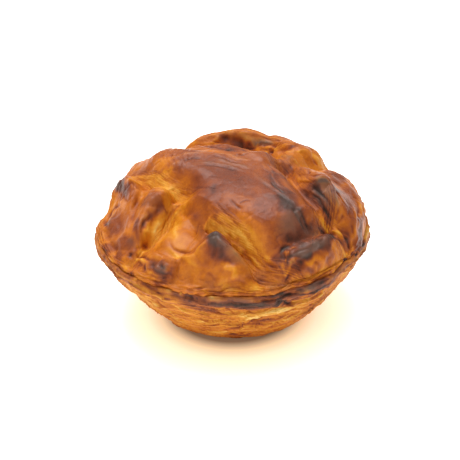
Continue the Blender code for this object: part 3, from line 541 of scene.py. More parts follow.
blister_gap 0.5 -0.6 0.24 0 19.8,-45.1 21.5,-45 22.7,-44.8 24.6,-44.2
blister_edge 0.5 -0.6 0.26 0 20,-44 19.7,-42.7 21.8,-41 24,-39.9 25.9,-38.5
hollow_red 0.9 0.3 -0.14 -0.2 28.8,-35.6 30,-37.8 31.2,-38.4
hollow_light 0.9 0.2 -0.1 0.4 28.9,-34.2 31,-32.6 34.3,-30.9 36.7,-27.7
streak_one 0.5 -0.5 0.2 0 22.4,-47.2 26.9,-45.1 30.6,-42.3 34.6,-39.1 39.2,-34.7
streak_two 0.5 -0.5 0.22 0 23.5,-48.3 28.1,-45.6 32.9,-42.4 36.3,-39.3 42.3,-33.5
streak_three 0.6 0.5 -0.2 0 28.7,-45.9 31.7,-43.5 35.4,-40.6 39.5,-36.9
streak_four 0.6 0.4 -0.1 0 28.7,-45 33.4,-41.7 36.5,-38.8 41.7,-33.6
streak_five 0.5 0.5 -0.22 0 33.8,-45.1 38,-41.4 41.6,-38.3 46,-33.3
streak_six 0.5 -0.5 0.22 0 32,-47.6 36.4,-44.6 40.2,-40.9 44.1,-35.9
streak_seven 0.45 -0.4 0.18 0 30.2,-43.9 33.4,-41.7 35.9,-39.3
rim_hole_one 0.8 -0.9 0.6 0 46,-33.3 46.6,-31.1 48.1,-29.9
rim_hole_two 0.7 -0.8 0.55 0 49.3,-28.3 50.6,-26.2
side_light_one 0.7 0.5 -0.16 0.1 52.1,-7 51.8,-13.4 51.9,-17.3 51.8,-19.9 51.2,-22.2
side_light_two 0.6 0.5 -0.2 0.1 54.2,3.1 55,-2.3 54.8,-8 53.3,-15 52.5,-19.8
side_dark_one 0.5 -0.6 0.28 0 54.3,2.3 54.4,-4.2 52.9,-13.3 52.1,-18.6
side_dark_two 0.6 -0.6 0.3 0 50.5,-18.8 51,-20.1 50.9,-21.4
left_crack_one 0.8 -0.7 0.45 0 -47.1,0.4 -49.6,3.7 -51.6,4 -52.6,0
left_crack_two 0.7 -0.6 0.42 0 -53.2,1.1 -53.8,-1.5 -51.9,-9.2
left_crack_light 0.7 0.4 -0.06 0.4 -48.9,-0.8 -50.7,-2.7 -50.5,-9.2 -51.5,-11.4
left_low_line 0.8 -0.3 0.1 0 -48.5,-20.7 -48.5,-23.4 -47,-28.3 -44.6,-33
left_low_light 1.2 0.2 -0.04 0.4 -41.9,-25.8 -41.4,-28.4 -41.4,-30.6
left_edge_dark 0.7 -0.5 0.3 0 -53.5,-20.7 -51.1,-26.4 -49.5,-29.4
left_edge_line 0.6 -0.5 0.28 0 -47.5,-32.6 -44.9,-36.4 -41.8,-40.4 -38.5,-43.9
""")

CASE_MARKS = read_marks("""
knob_gap 0.6 -0.5 0.22 0 200.7,36.1 201.8,36.1 204.6,35.7 205.3,35.7 209.1,36.1 210.8,36.1
knob_gap_hole 0.8 -0.6 0.14 0 201.1,36.1 201.8,36.1
lip_under_one 0.8 -0.8 0.4 0 219.6,35.7 224.4,35.7 225.1,35.7 227.9,35.7
lip_under_light 0.5 0.5 -0.3 0.1 227.6,35.7 230,36.1 233.2,35.7
band_light_one 0.5 0.5 -0.2 0.25 224.1,35.7 228.3,35.7 232.5,35.3 236.3,35.3 240.5,35.3
band_dark_one 1.1 -0.4 0.2 0.1 225.1,35.3 229.7,34.8 234.2,34.3 239.1,33.8 244,33.8 248.2,32.8 251.3,33.3
band_light_two 0.6 0.6 -0.3 0.1 241.9,35.3 244.3,34.8 247.1,34.3
band_light_three 0.6 0.5 -0.14 0.35 233.9,35.7 236.7,35.7 240.5,35.3 244,35.3
band_dark_two 0.8 -0.4 0.22 0.1 245.7,34.8 246.4,33.3 246.1,31
band_dark_three 1 -0.3 0.2 0.1 227.6,33.8 231.1,33.8 233.5,33.8
band_specks 0.6 0.4 -0.3 0.1 230.4,34.8 231.8,34.3 233.2,34.3
eye_upper 0.7 -1 0.5 0 249.9,35.7 252.4,35.7 254.1,35.3 256.2,34.3 258,35.7
eye_inner 1.6 -0.7 0.4 0.1 252,34.8 254.5,33.8 256.9,33.3
eye_lower 0.8 -1 0.5 0 250.6,34.3 252.4,33.3 255.2,30.6 258.3,26.5 258.7,30.6 261.5,31.9
eye_lid 0.8 0.7 0 0.2 250.6,32.8 255.9,26.1 259,26.5 262.8,27.4
grey_line_one 0.6 -0.7 0.4 0.3 258,35.7 260.1,35.7 263.5,35.7 267.4,36.1
grey_line_two 0.5 0.5 -0.3 0.5 258.7,33.8 261.5,34.8 264.6,35.3 267.4,35.7
grey_line_three 0.5 -0.6 0.36 0.1 263.2,33.8 266.3,33.8 269.1,34.3 272.6,33.8
grey_line_four 0.6 -0.5 0.4 0 267.4,26.9 270.9,27.4 276.1,27.8
swirl_one 0.5 -0.6 0.34 0 231.1,33.3 233.9,31.5 236,26.5 238.4,26.1
swirl_two 0.8 0.5 -0.24 0 235.3,32.8 237,32.3 238.1,33.3
swirl_three 0.5 0.5 -0.2 0 234.2,29 236.3,26.1 238.8,26.1 241.6,26.9
swirl_four 0.6 -0.5 0.3 0.1 240.5,31.5 242.3,26.9 245,26.9
band_foot 0.6 -0.5 0.2 0 226.2,28.2 229.7,26.9 232.8,25.3 237.7,24.1
gold_line_one 0.8 0.6 -0.2 0 236.3,25.3 241.6,24.9 245.4,26.1 250.3,25.3 255.5,25.7 260.4,26.9
gold_line_two 0.6 0.5 -0.22 0 237.7,20.9 243.3,22.5 248.2,23.3 252.7,24.1 256.9,24.1 262.5,24.5
gold_dark_one 0.5 -0.5 0.22 0 249.2,27.4 252.4,27.8 256.6,26.5 259.4,26.9
gold_dark_two 0.5 -0.5 0.25 0 255.5,24.1 259.7,21.3 262.8,23.3
fissure_upper 0.6 -1 0.5 0 240.5,15.3 242.6,18.1 246.4,19.7 249.6,21.3 253.8,20.9 257.6,17.7
fissure_floor 1.5 -0.9 0.12 0 241.9,15.3 245.7,15.3 248.9,17.7 252.7,17.3
fissure_tail 0.7 -1 0.55 0 230.4,10.7 233.5,13 235.6,13 239.1,14.2 240.9,15.3
fissure_lip 0.7 0.7 -0.24 0 237.7,18.5 240.9,19.3 244,22.5 248.2,20.5
fissure_low_lip 0.7 0.6 -0.22 0 235.3,10.7 238.8,12.6 242.9,13.4 247.1,12.6 251.7,12.6 255.2,13.8
low_line_one 0.5 0.5 -0.2 0 217.5,17.7 222,17.7 226.5,18.5 230.7,19.3 234.9,19.7
low_line_two 0.5 -0.6 0.24 0 214.3,13.4 218.9,12.2 224.4,11.9 230,14.6
low_line_three 0.5 -0.5 0.22 0 223.1,15.3 227.2,15.7 232.1,16.5 236,16.5
low_line_four 0.6 0.5 -0.18 0 221,8.8 226.5,7.7 231.1,8.5 236,10.7
low_line_five 0.5 -0.6 0.26 0 229.3,7.4 234.6,5.6 239.8,7 244.7,9.2
low_dark 0.7 -0.3 0.3 0.1 224.1,4.5 231.4,5.6 239.1,4.5 246.4,5.9
left_line_one 0.5 -0.6 0.12 0 205.9,35.3 209.4,34.8 212.2,33.8
left_line_two 0.6 -0.5 0.36 0.1 212.2,32.8 214.3,33.3
left_line_three 0.5 -0.5 0.1 0 202.1,35.7 205.3,35.7 208.7,35.7
left_line_four 0.6 -0.5 0.2 0 206.3,30.6 205.6,25.3 208.7,24.1
left_light_one 0.6 0.6 -0.2 0 204.6,34.3 208.4,34.3 211.5,32.8 214,31.9
left_light_two 0.7 0.6 -0.2 0 211.9,30.2 214,28.6 215.7,24.9 219.2,22.5
left_light_three 0.6 0.5 -0.14 0.1 202.5,23.7 207,23.7 208,20.1 210.5,17.3
left_purple 1.6 -0.4 0.26 0.15 212.9,36.1 215.4,35.7 218.5,34.3 222,33.3
left_purple_light 0.6 0.5 -0.2 0.3 212.2,36.1 214,36.1 214.7,35.7
left_pale_speck 0.7 0.5 -0.34 0.1 217.8,36.1 218.2,35.7
left_red 0.7 -0.6 0.24 0 218.2,36.1 221.3,35.3 223.1,34.8
left_gold_fold 0.9 0.6 -0.16 0 219.6,35.7 221.3,34.8
left_low_dark 0.6 -0.5 0.24 0.1 201.1,16.9 204.9,14.6 207.7,11.1 209.8,5.6
left_low_light 0.6 0.5 -0.14 0.1 207,14.6 211.2,13.4 214.7,10.7
right_line_one 0.5 -0.6 0.26 0 268.1,36.1 271.9,36.1 277.9,35.7 282,36.1
right_line_two 0.5 -0.6 0.26 0.1 273,34.3 277.2,34.8 282.7,34.8 286.6,35.7
right_light_one 0.6 0.6 -0.18 0.1 270.2,35.3 274,35.3 280.3,35.3 285.2,35.7
right_light_two 0.8 0.6 -0.24 0 270.9,26.1 274,26.9 273.3,33.3
right_light_three 0.9 0.6 -0.22 0 264.2,25.7 265.6,26.9 267.7,29.4
right_line_three 0.5 -0.6 0.22 0 266.7,19.3 270.9,20.5 271.6,25.3
right_line_four 0.5 -0.5 0.2 0 259.7,15.7 263.5,16.9 266.3,18.5
right_light_four 0.6 0.5 -0.12 0.1 258,13.8 262.5,15.3 266.7,16.1 268.1,20.5
side_hole_one 0.8 -1 0.7 0.2 304,36.1 301.6,36.1 296.4,36.1
side_hole_two 0.8 -1 0.6 0.2 296.4,36.1 294.3,36.1 292.5,36.1
side_hole_three 0.7 -0.8 0.5 0 290.8,36.1 291.1,35.3
side_stack_one 0.5 0.6 -0.2 0 313.5,36.1 307.2,36.1 301.6,36.1 292.5,36.1
side_stack_two 0.5 -0.6 0.26 0 294.3,36.1 290.8,36.1 286.6,35.7 282.7,34.8
side_stack_three 0.5 0.5 -0.2 0.1 288.3,35.7 284.1,35.3 280,34.8
edge_left_one 0.6 -0.6 0.3 0 175.9,35.7 180.1,35.3 185.7,35.7 189.9,35.7
edge_left_two 0.5 -0.5 0.22 0 186.8,36.1 192,36.1 196.9,36.1 200.7,36.1
edge_left_light 0.6 0.5 -0.16 0.1 181.5,35.3 188.5,35.7 193,35.7 197.2,35.3
edge_left_three 0.5 -0.5 0.22 0 185.4,34.3 190.2,33.3 195.5,34.3 200,33.3
""")


# ---- Small helpers ----------------------------------------------------------------------------
def ease(value):
    value = np.clip(value, 0.0, 1.0)
    return value * value * (3.0 - 2.0 * value)


def band(value, low, high, soft):
    """1 between low and high, fading out over soft on both sides."""
    return ease((value - low) / soft + 0.5) * ease((high - value) / soft + 0.5)


def soft_greater(first, second, blend):
    return 0.5 * (first + second + np.sqrt((first - second) ** 2 + blend ** 2))


def scatter(keys, seed):
    """One random value between 0 and 1 for each whole number, or row of whole numbers."""
    keys = np.atleast_2d(np.asarray(keys).T).T.astype(np.int64)
    mix = np.full(len(keys), seed * 2654435761, dtype=np.int64)
    for column, factor in zip(keys.T, (73856093, 19349663, 83492791)):
        mix = mix ^ column * factor
    mix = mix & 0xFFFFFFFF
    mix = (mix ^ mix >> 15) * 2246822519 & 0xFFFFFFFF
    mix = (mix ^ mix >> 13) * 3266489917 & 0xFFFFFFFF
    return (mix ^ mix >> 16) / 0xFFFFFFFF


def soft_noise(x, y, z, cell, seed):
    """A smooth seeded field between -1 and 1, with one random value per cell corner."""
    place = np.stack([x, y, z], axis=-1) / cell
    corner = np.floor(place).astype(np.int64)
    blend = ease(place - corner)
    total = np.zeros(len(place))
    for step in np.ndindex(2, 2, 2):
        share = np.prod(np.where(step, blend, 1.0 - blend), axis=1)
        total += share * (2.0 * scatter(corner + np.array(step), seed) - 1.0)
    return total


def rough_noise(x, y, z, cell, seed, octaves=3):
    """Several soft noises, each half as large and half as high as the one before."""
    total = np.zeros(len(x))
    for octave in range(octaves):
        total += 0.5 ** octave * soft_noise(x, y, z, cell / 2 ** octave, seed + 31 * octave)
    return total


def waves(angle, table):
    total = np.zeros_like(angle)
    for count, size, phase in table:
        total += size * MM * np.sin(count * angle + math.radians(phase))
    return total


def rounded_path(points):
    path = np.array(points, dtype=float)
    for _ in range(SMOOTHING_ROUNDS):
        before = path[:-1] * 0.75 + path[1:] * 0.25
        after = path[:-1] * 0.25 + path[1:] * 0.75
        middle = np.stack([before, after], axis=1).reshape(-1, 3)
        path = np.vstack([path[:1], middle, path[-1:]])
    return path


def oval(shape, x, y):
    """How far out a point is along and across a turned ellipse: 1 is its outline."""
    turn = math.radians(shape.turn)
    along = (x - shape.x) * math.cos(turn) + (y - shape.y) * math.sin(turn)
    across = (y - shape.y) * math.cos(turn) - (x - shape.x) * math.sin(turn)
    return along / shape.length, across / shape.width


def ridges(phase):
    """Rounded ridges with sharp lines between them, from 0 to 1, one for each whole step."""
    part = phase - np.floor(phase)
    return 1.0 - np.abs(2.0 * part - 1.0) ** 2.2


def face_normals(points, faces):
    """Outward direction at each point, from the faces round it."""
    corners = points[faces]
    flat = np.cross(corners[:, 1] - corners[:, 0], corners[:, 2] - corners[:, 0])
    normals = np.zeros_like(points)
    for column in range(3):
        np.add.at(normals, faces[:, column], flat)
    return normals / np.maximum(np.linalg.norm(normals, axis=1), 1e-12)[:, None]


def hidden_ring(angle, level):
    """The corners of the flat face where the lid and the case meet, out of sight."""
    return np.stack([HIDDEN_RADIUS * np.cos(angle), HIDDEN_RADIUS * np.sin(angle),
                     np.full(len(angle), level)], axis=-1)


# ---- Lid shape --------------------------------------------------------------------------------
def swell_height(swell, x, y):
    along, across = oval(swell, x, y)
    far = np.abs(along) ** swell.power + np.abs(across) ** swell.power
    return swell.height * np.exp(-0.35 * far) * ease(1.6 - 0.8 * far)


class Track:
    """Where each point lies beside a fold's path: how near, on which side, how far along."""

    def __init__(self, fold, x, y):
        path = rounded_path(fold.path)
        lengths = np.hypot(*np.diff(path[:, :2], axis=0).T)
        travelled = np.append(0.0, np.cumsum(lengths))
        self.length = travelled[-1]
        self.near = np.full(x.shape, np.inf)
        self.side = np.zeros_like(x)
        self.along = np.zeros_like(x)
        self.height = np.zeros_like(x)
        self.outward = np.zeros(x.shape + (2,))
        for index, (start, end) in enumerate(zip(path, path[1:])):
            run = end[:2] - start[:2]
            length = lengths[index]
            share = ((x - start[0]) * run[0] + (y - start[1]) * run[1]) / length ** 2
            share = np.clip(share, 0.0, 1.0)
            off_x = x - start[0] - share * run[0]
            off_y = y - start[1] - share * run[1]
            distance = np.hypot(off_x, off_y)
            closer = distance < self.near
            sine = (run[0] * off_y - run[1] * off_x) / (length * np.maximum(distance, 1e-6))
            self.near = np.where(closer, distance, self.near)
            self.side = np.where(closer, sine, self.side)
            self.along = np.where(closer, travelled[index] + share * length, self.along)
            self.height = np.where(closer, start[2] + share * (end[2] - start[2]), self.height)
            outward = np.array([-run[1], run[0]]) / length
            self.outward = np.where(closer[:, None], outward, self.outward)


def fold_height(fold, track):
    steep_side = np.sign(fold.right - fold.left)
    width = fold.right + (fold.left - fold.right) * (0.5 + 0.5 * track.side)
    width = width * (fold.point + (1.0 - fold.point) * ease(track.along / 9.0))
    crispness = 2.0 - EDGE_CRISPNESS * (0.5 + 0.5 * track.side * steep_side)
    fall = np.exp(-(track.near / width) ** crispness)
    return track.height * fall, track.outward * (fold.curl * steep_side * fall)[:, None]


def lid_section():
    reach = np.linspace(0.0, 1.0, 400) ** 0.5
    radius = RIM_RADIUS * reach
    rise = DOME_RISE * (1.0 - reach ** DOME_SQUARENESS) ** DOME_SHOULDER
    tuck = np.linspace(0.0, math.pi / 2, 24)[1:]
    radius = np.append(radius, RIM_RADIUS - SEAM_RECESS * (1.0 - np.cos(tuck)))
    rise = np.append(rise + TUCK_DROP, TUCK_DROP * (1.0 - np.sin(tuck)))
    travel = np.append(0.0, np.cumsum(np.hypot(np.diff(radius), np.diff(rise))))
    return travel / travel[-1], radius, rise


def rim_scale(angle, radius):
    change = waves(angle, RIM_WAVES)
    for bearing, width, size in RIM_DENTS:
        off = np.angle(np.exp(1j * (angle - math.radians(bearing)))) / math.radians(width)
        change += size * MM * np.exp(-off ** 2)
    return 1.0 + change / RIM_RADIUS * ease(radius / RIM_RADIUS)


def seam_height(angle):
    return SEAM_HEIGHT + waves(angle, SEAM_WAVES)


def lid_net(rings):
    """Ring share and angle of each point, and the triangles between the rings."""
    share = [np.zeros(1)]
    angle = [np.zeros(1)]
    faces = []
    first_inner, first_outer = 0, 1
    for ring in range(1, rings + 1):
        count = 6 * ring
        share.append(np.full(count, ring / rings))
        angle.append(2 * math.pi * np.arange(count) / count)
        inner_count = max(6 * (ring - 1), 1)
        for sixth in range(6):
            out = sixth * ring + np.arange(ring + 1)
            inside = sixth * (ring - 1) + np.arange(ring)
            out = first_outer + out % count
            inside = first_inner + inside % inner_count
            faces.append(np.stack([inside, out[:-1], out[1:]], axis=-1))
            faces.append(np.stack([inside[:-1], out[1:-1], inside[1:]], axis=-1))
        first_inner, first_outer = first_outer, first_outer + count
    return np.concatenate(share), np.concatenate(angle), np.concatenate(faces)


def lid_points(share, angle):
    """The lid's form before its finer relief, with what that relief needs."""
    steps, radii, rises = lid_section()
    radius = np.interp(share, steps, radii)
    rise = np.interp(share, steps, rises)
    reach = radius * rim_scale(angle, radius)
    x = reach * np.cos(angle)
    y = reach * np.sin(angle)
    lift = np.zeros_like(x)
    push = np.zeros(x.shape + (2,))
    for swell in SWELLS.values():
        lift += swell_height(swell, x / MM, y / MM)
    tracks = {}
    for name, fold in FOLDS.items():
        tracks[name] = Track(fold, x / MM, y / MM)
        height, shift = fold_height(fold, tracks[name])
        lift += height
        push += shift
    free = ease((1.0 - share) / 0.13)
    outward = radius / RIM_RADIUS
    seam = HIDDEN_HEIGHT + (seam_height(angle) - HIDDEN_HEIGHT) * ease(outward / 0.8)
    seam -= waves(angle, SEAM_WAVES[SEAM_LONG_WAVES:]) * (ease(outward / 0.8)
                                                          - ease((outward - 0.82) / 0.18))
    lean = (LEAN_BACK * y + LEAN_RIGHT * x) * np.sqrt(free)
    wave = np.zeros_like(x)
    for cell, size, seed in SKIN_WAVES:
        wave += size * soft_noise(x / MM, y / MM, rise / MM, cell, seed)
    cut = rise + lean + (lift + wave) * free * MM
    uncut = np.minimum(rise, RIM_STRIP)
    z = seam + SEAM_GAP + soft_greater(cut, uncut, RIM_STRIP * free)
    spread = 1.0 + 0.4 * wave * MM * ease(share / 0.5) * (share < 0.999) / RIM_RADIUS
    points = np.stack([x * spread, y * spread, z], axis=-1)
    points[:, :2] += push * free[:, None] * MM
    return points, x / MM, y / MM, lift, tracks


def layer_relief(layers, track, x, y):
    """Height, tone and reach of one layered face, and where it lies beside its fold."""
    share = track.along / track.length
    squeeze = 1.0 - layers.pinch * share
    out = track.near * track.side * layers.side
    mask = band(out / squeeze, layers.near, layers.far, 1.2)
    mask = mask * band(share, layers.start, layers.end + 0.05, 0.12)
    mask = mask * (np.abs(track.side) > 0.3)
    bend = 1.1 * soft_noise(x, y, x * 0, 9.0, layers.seed) + 0.4 * soft_noise(x, y, x * 0, 3.5, 77)
    phase = (out / squeeze + bend) / layers.spacing + 40.0
    index = np.floor(phase)
    strength = 0.35 + 0.65 * scatter(index, layers.seed + 100)
    strength = strength * (0.75 + 0.5 * soft_noise(x, y, index * 3.1, 6.0, layers.seed + 7))
    ridge = ridges(phase)
    height = layers.height * strength * (ridge - 0.6) * mask
    tone = 0.16 * (scatter(index, layers.seed + 200) - 0.5) * mask
    tone += layers.shade * (1.0 - ridge) ** 1.5 * mask * (0.4 + strength)
    return height, tone, mask, out + bend


# ---- Case shape -------------------------------------------------------------------------------
def case_section():
    points = [(RIM_RADIUS - SEAM_RECESS, SEAM_HEIGHT)]
    for turn in np.linspace(0.1, 1.0, 10) * math.pi / 2:
        inset = SEAM_RECESS * (1.0 - math.sin(turn))
        drop = (SEAM_HEIGHT - RIM_HEIGHT) * (1.0 - math.cos(turn))
        points.append((RIM_RADIUS - inset, SEAM_HEIGHT - drop))
    for share in np.linspace(0.97, 0.06, 40):
        radius = BASE_RADIUS + (RIM_RADIUS - BASE_RADIUS) * share ** SIDE_BULGE
        points.append((radius, RIM_HEIGHT * share))
    last = points[-1]
    foot = (BASE_RADIUS - BASE_FILLET, 0.0)
    for turn in np.linspace(0.2, 1.0, 6):
        bulge = 0.35 * BASE_FILLET * math.sin(math.pi * turn)
        points.append((last[0] + (foot[0] - last[0]) * turn + bulge,
                       last[1] + (foot[1] - last[1]) * turn))
    return np.array(points)


def case_points(columns, rows):
    """A net of points from the seam down to the foot, before its finer relief."""
    section = case_section()
    travel = np.append(0.0, np.cumsum(np.hypot(*np.diff(section, axis=0).T)))
    step = np.linspace(0.0, travel[-1], rows)
    angle = 2 * math.pi * np.arange(columns) / columns
    angle, step = [flat.ravel() for flat in np.meshgrid(angle, step)]
    radius = np.interp(step, travel, section[:, 0])
    height = np.interp(step, travel, section[:, 1])
    round_x = radius * np.cos(angle)
    round_y = radius * np.sin(angle)
    outside = ease((SEAM_HEIGHT - height) / (0.3 * MM)) * ease(height / (1.2 * MM))
    depth = np.zeros_like(radius)
    for level, thickness, size in LEDGES:
        wander = 1.6 * np.sin(3 * angle + level) + 0.9 * np.sin(7 * angle - 2 * level)
        depth += size * np.exp(-((height / MM - level - wander) / thickness) ** 2)
    for cell, size, seed in SIDE_WAVES:
        depth += size * soft_noise(round_x / MM * SIDE_STRETCH, round_y / MM * SIDE_STRETCH,
                                   height / MM, cell * SIDE_STRETCH, seed)
    new_radius = radius * rim_scale(angle, radius) + depth * outside * MM
    stretch = (seam_height(angle) - SEAM_HEIGHT) * ease((height - 0.6 * RIM_HEIGHT)
                                                        / (SEAM_HEIGHT - 0.6 * RIM_HEIGHT))
    new_height = height + stretch
    below = np.clip(1.0 - height / RIM_HEIGHT, 0.0, 1.0)
    points = np.stack([new_radius * np.cos(angle) + BASE_SHIFT[0] * below,
                       new_radius * np.sin(angle) + BASE_SHIFT[1] * below,
                       new_height], axis=-1)
    return points, angle, height / MM, outside


# ---- Browning, painted shade and highlights, and marks ----------------------------------------
def brown_and_shade(patches, bake, placing):
    """Blends each patch into the bake, painted shade and highlights, and the greyness. Placing gives how
    far out each point is.
    """
    ash = np.zeros_like(bake)
    for patch in patches.values():
        cover = patch.hold * ease((1.55 - np.hypot(*placing(patch))) / 1.1)
        bake = bake + (patch.bake - bake) * cover
        ash = ash + (patch.ash - ash) * cover
    return bake, ash


def brown_and_shade_lid(x, y, bake):
    warp_x, warp_y = [1.3 * rough_noise(x, y, x * 0, 6.0, seed) for seed in (81, 82)]
    return brown_and_shade(LID_PATCHES, bake, lambda patch: oval(patch, x + warp_x, y + warp_y))


def brown_and_shade_case(angle, height, bake):
    turned = np.degrees(angle)
    arc = math.radians(CASE_CIRCLE)
    warp = rough_noise(CASE_CIRCLE * np.cos(angle), CASE_CIRCLE * np.sin(angle), height * 2.0,
                       7.0, 83)

    def placing(patch):
        off = (turned - patch.x + 180.0) % 360.0 - 180.0
        return oval(patch._replace(x=0.0), off * arc + warp, height + warp)

    return brown_and_shade(CASE_PATCHES, bake, placing)


def draw_marks(marks, x, y, detail, bake, ash):
    """Adds each mark's relief and tone to the fields, uneven along its length; its tone mixes crust colour,
    painted shade and highlights.
    """
    for index, mark in enumerate(marks.values()):
        path = np.array(mark.path)
        reach = 3.0 * mark.width + 0.5
        low, high = path.min(axis=0) - reach, path.max(axis=0) + reach
        near = np.flatnonzero((x > low[0]) & (x < high[0]) & (y > low[1]) & (y < high[1]))
        if not len(near):
            continue
        wobble = 0.35 * soft_noise(x[near], y[near], y[near] * 0, 2.2, 300 + index)
        corners = [(*corner, 1.0) for corner in mark.path]
        track = Track(Fold(corners, 1, 1, 0), x[near] + wobble, y[near] - wobble)
        end = np.minimum(track.along, track.length - track.along) / (0.3 * track.length)
        line = np.exp(-(track.near / mark.width) ** 1.7) * ease(0.2 + end)
        line *= 0.85 + 0.5 * soft_noise(x[near], y[near], y[near] * 0, 3.0, 400 + index)
        detail[near] += mark.height * line
        bake[near] += mark.bake * line
        ash[near] += mark.ash * line


# ---- Meshes and materials ---------------------------------------------------------------------
def make_mesh(name, points, faces, shares, places):
    """A smooth mesh object with one number per point for each named field.

    Shares run from 0 to 1 and come with the value of the hidden points. Places are in mm.
    """
    mesh = bpy.data.meshes.new(name)
    mesh.from_pydata((points + np.array([*FRAME_SHIFT, 0.0])).tolist(), [],
                     [list(face) for face in faces])
    fields = {field: (np.clip(values, 0.0, 1.0), hidden) for field, (values, hidden) in shares.items()}
    fields.update({field: (values, 0.0) for field, values in places.items()})
    for field, (values, hidden) in fields.items():
        values = np.append(values, np.full(len(points) - len(values), hidden))
        layer = mesh.attributes.new(field, "FLOAT", "POINT")
        layer.data.foreach_set("value", values.astype(np.float32))
    mesh.shade_smooth()
    mesh.update()
    thing = bpy.data.objects.new(name, mesh)
    bpy.context.scene.collection.objects.link(thing)
    return thing


def srgb(red, green, blue):
    """A colour read as 0 to 255, as the linear numbers a shader wants."""
    shade = np.array([red, green, blue]) / 255.0
    linear = np.where(shade <= 0.04045, shade / 12.92, ((shade + 0.055) / 1.055) ** 2.4)
    return (*linear.tolist(), 1.0)


class Nodes:
    """Short ways to add and join a material's shader nodes."""

    def __init__(self, name):
        self.material = bpy.data.materials.new(name)
        self.material.use_nodes = True
        self.tree = self.material.node_tree
        self.shader = self.tree.nodes["Principled BSDF"]

    def add(self, kind, inputs=(), **settings):
        node = self.tree.nodes.new(kind)
        for name, value in settings.items():
            setattr(node, name, value)
        self.fill(node, dict(inputs))
        return node

    def fill(self, node, inputs):
        """Joins each input to a socket, or sets it to a plain value."""
        for socket, value in inputs.items():
            if isinstance(value, bpy.types.NodeSocket):
                self.tree.links.new(value, node.inputs[socket])
            else:
                node.inputs[socket].default_value = value

    def math(self, operation, first, second):
        return self.add("ShaderNodeMath", {0: first, 1: second}, operation=operation).outputs[0]

    def plus(self, first, second, times):
        return self.math("ADD", first, self.math("MULTIPLY", second, times))

    def field(self, name):
        return self.add("ShaderNodeAttribute", attribute_name=name).outputs["Fac"]

    def noise(self, place, scale, detail, rough=0.55):
        """Noise round 0, half of its range to each side."""
        fine = self.add("ShaderNodeTexNoise", {"Vector": place, "Scale": scale, "Detail": detail,
                                               "Roughness": rough}).outputs["Fac"]
        return self.math("SUBTRACT", fine, 0.5)

    def ramp(self, place, tones):
        node = self.add("ShaderNodeValToRGB", {"Fac": place})
        stops = node.color_ramp.elements
        while len(stops) < len(tones):
            stops.new(0.5)
        for stop, (position, shade) in zip(stops, tones):
            stop.position = position
            stop.color = srgb(*shade)
        return node.outputs["Color"]


def pastry_material(name, fine_scale, bump_height, dull, glossy, coat):
    """Baked pastry: its tone from pale to burnt, with painted shade and highlights, grey where ashen and
    where a grey sheen is painted, glossy where glazed.
    """
    nodes = Nodes(name)
    place = nodes.add("ShaderNodeTexCoord").outputs["Object"]
    mottle = nodes.noise(place, fine_scale, 6.0)
    speck = nodes.noise(place, fine_scale * 3.1, 4.0, 0.7)
    line = nodes.add("ShaderNodeCombineXYZ", {0: nodes.math("MULTIPLY", nodes.field("across"), 1.5),
                                              1: nodes.math("MULTIPLY", nodes.field("along"), 0.16)})
    strands = nodes.noise(line.outputs[0], 1.0, 3.0, 0.6)
    strands = nodes.math("MULTIPLY", strands, nodes.field("strands"))
    tone = nodes.plus(nodes.field("bake"), mottle, 0.22)
    tone = nodes.plus(nodes.plus(tone, speck, 0.12), strands, -0.45)
    colour = nodes.add("ShaderNodeMix", {"Factor": nodes.field("ash"), "A": nodes.ramp(tone, BAKE_TONES),
                                         "B": srgb(*ASH_AND_SHEEN_GREY)}, data_type="RGBA")
    rough = nodes.add("ShaderNodeMapRange", {"Value": nodes.field("gloss"), "From Min": 0.0,
                                             "From Max": 1.0, "To Min": dull, "To Max": glossy})
    height = nodes.plus(nodes.math("MULTIPLY", mottle, 0.6), speck, 0.4)
    bump = nodes.add("ShaderNodeBump", {"Height": nodes.plus(height, strands, 1.6), "Strength": 0.6,
                                        "Distance": bump_height})
    nodes.fill(nodes.shader, {"Base Color": colour.outputs["Result"],
                              "Roughness": nodes.plus(rough.outputs[0], speck, 0.25),
                              "Normal": bump.outputs["Normal"], "Coat Weight": coat,
                              "Coat Roughness": 0.27, "Specular IOR Level": 0.15})
    return nodes.material


# ---- The lid ----------------------------------------------------------------------------------
def add_creases(x, y, z, depth, detail, tone):
    """Sunken, slightly darker wrinkles of two sizes, as deep as depth lets them be."""
    for cell, size, seed in CREASES:
        turn_x, turn_y = [flat + 0.25 * cell * soft_noise(x, y, z, cell * 0.6, seed + step)
                          for flat, step in ((x, 50), (y, 60))]
        crease = np.abs(soft_noise(turn_x, turn_y, z, cell, seed))
        crease = np.exp(-(crease / CREASE_WIDTH) ** 1.3)
        crease *= ease(0.45 + 1.1 * soft_noise(x, y, z, cell * 1.7, seed + 70)) * depth
        detail -= size * crease
        tone += 0.06 * crease


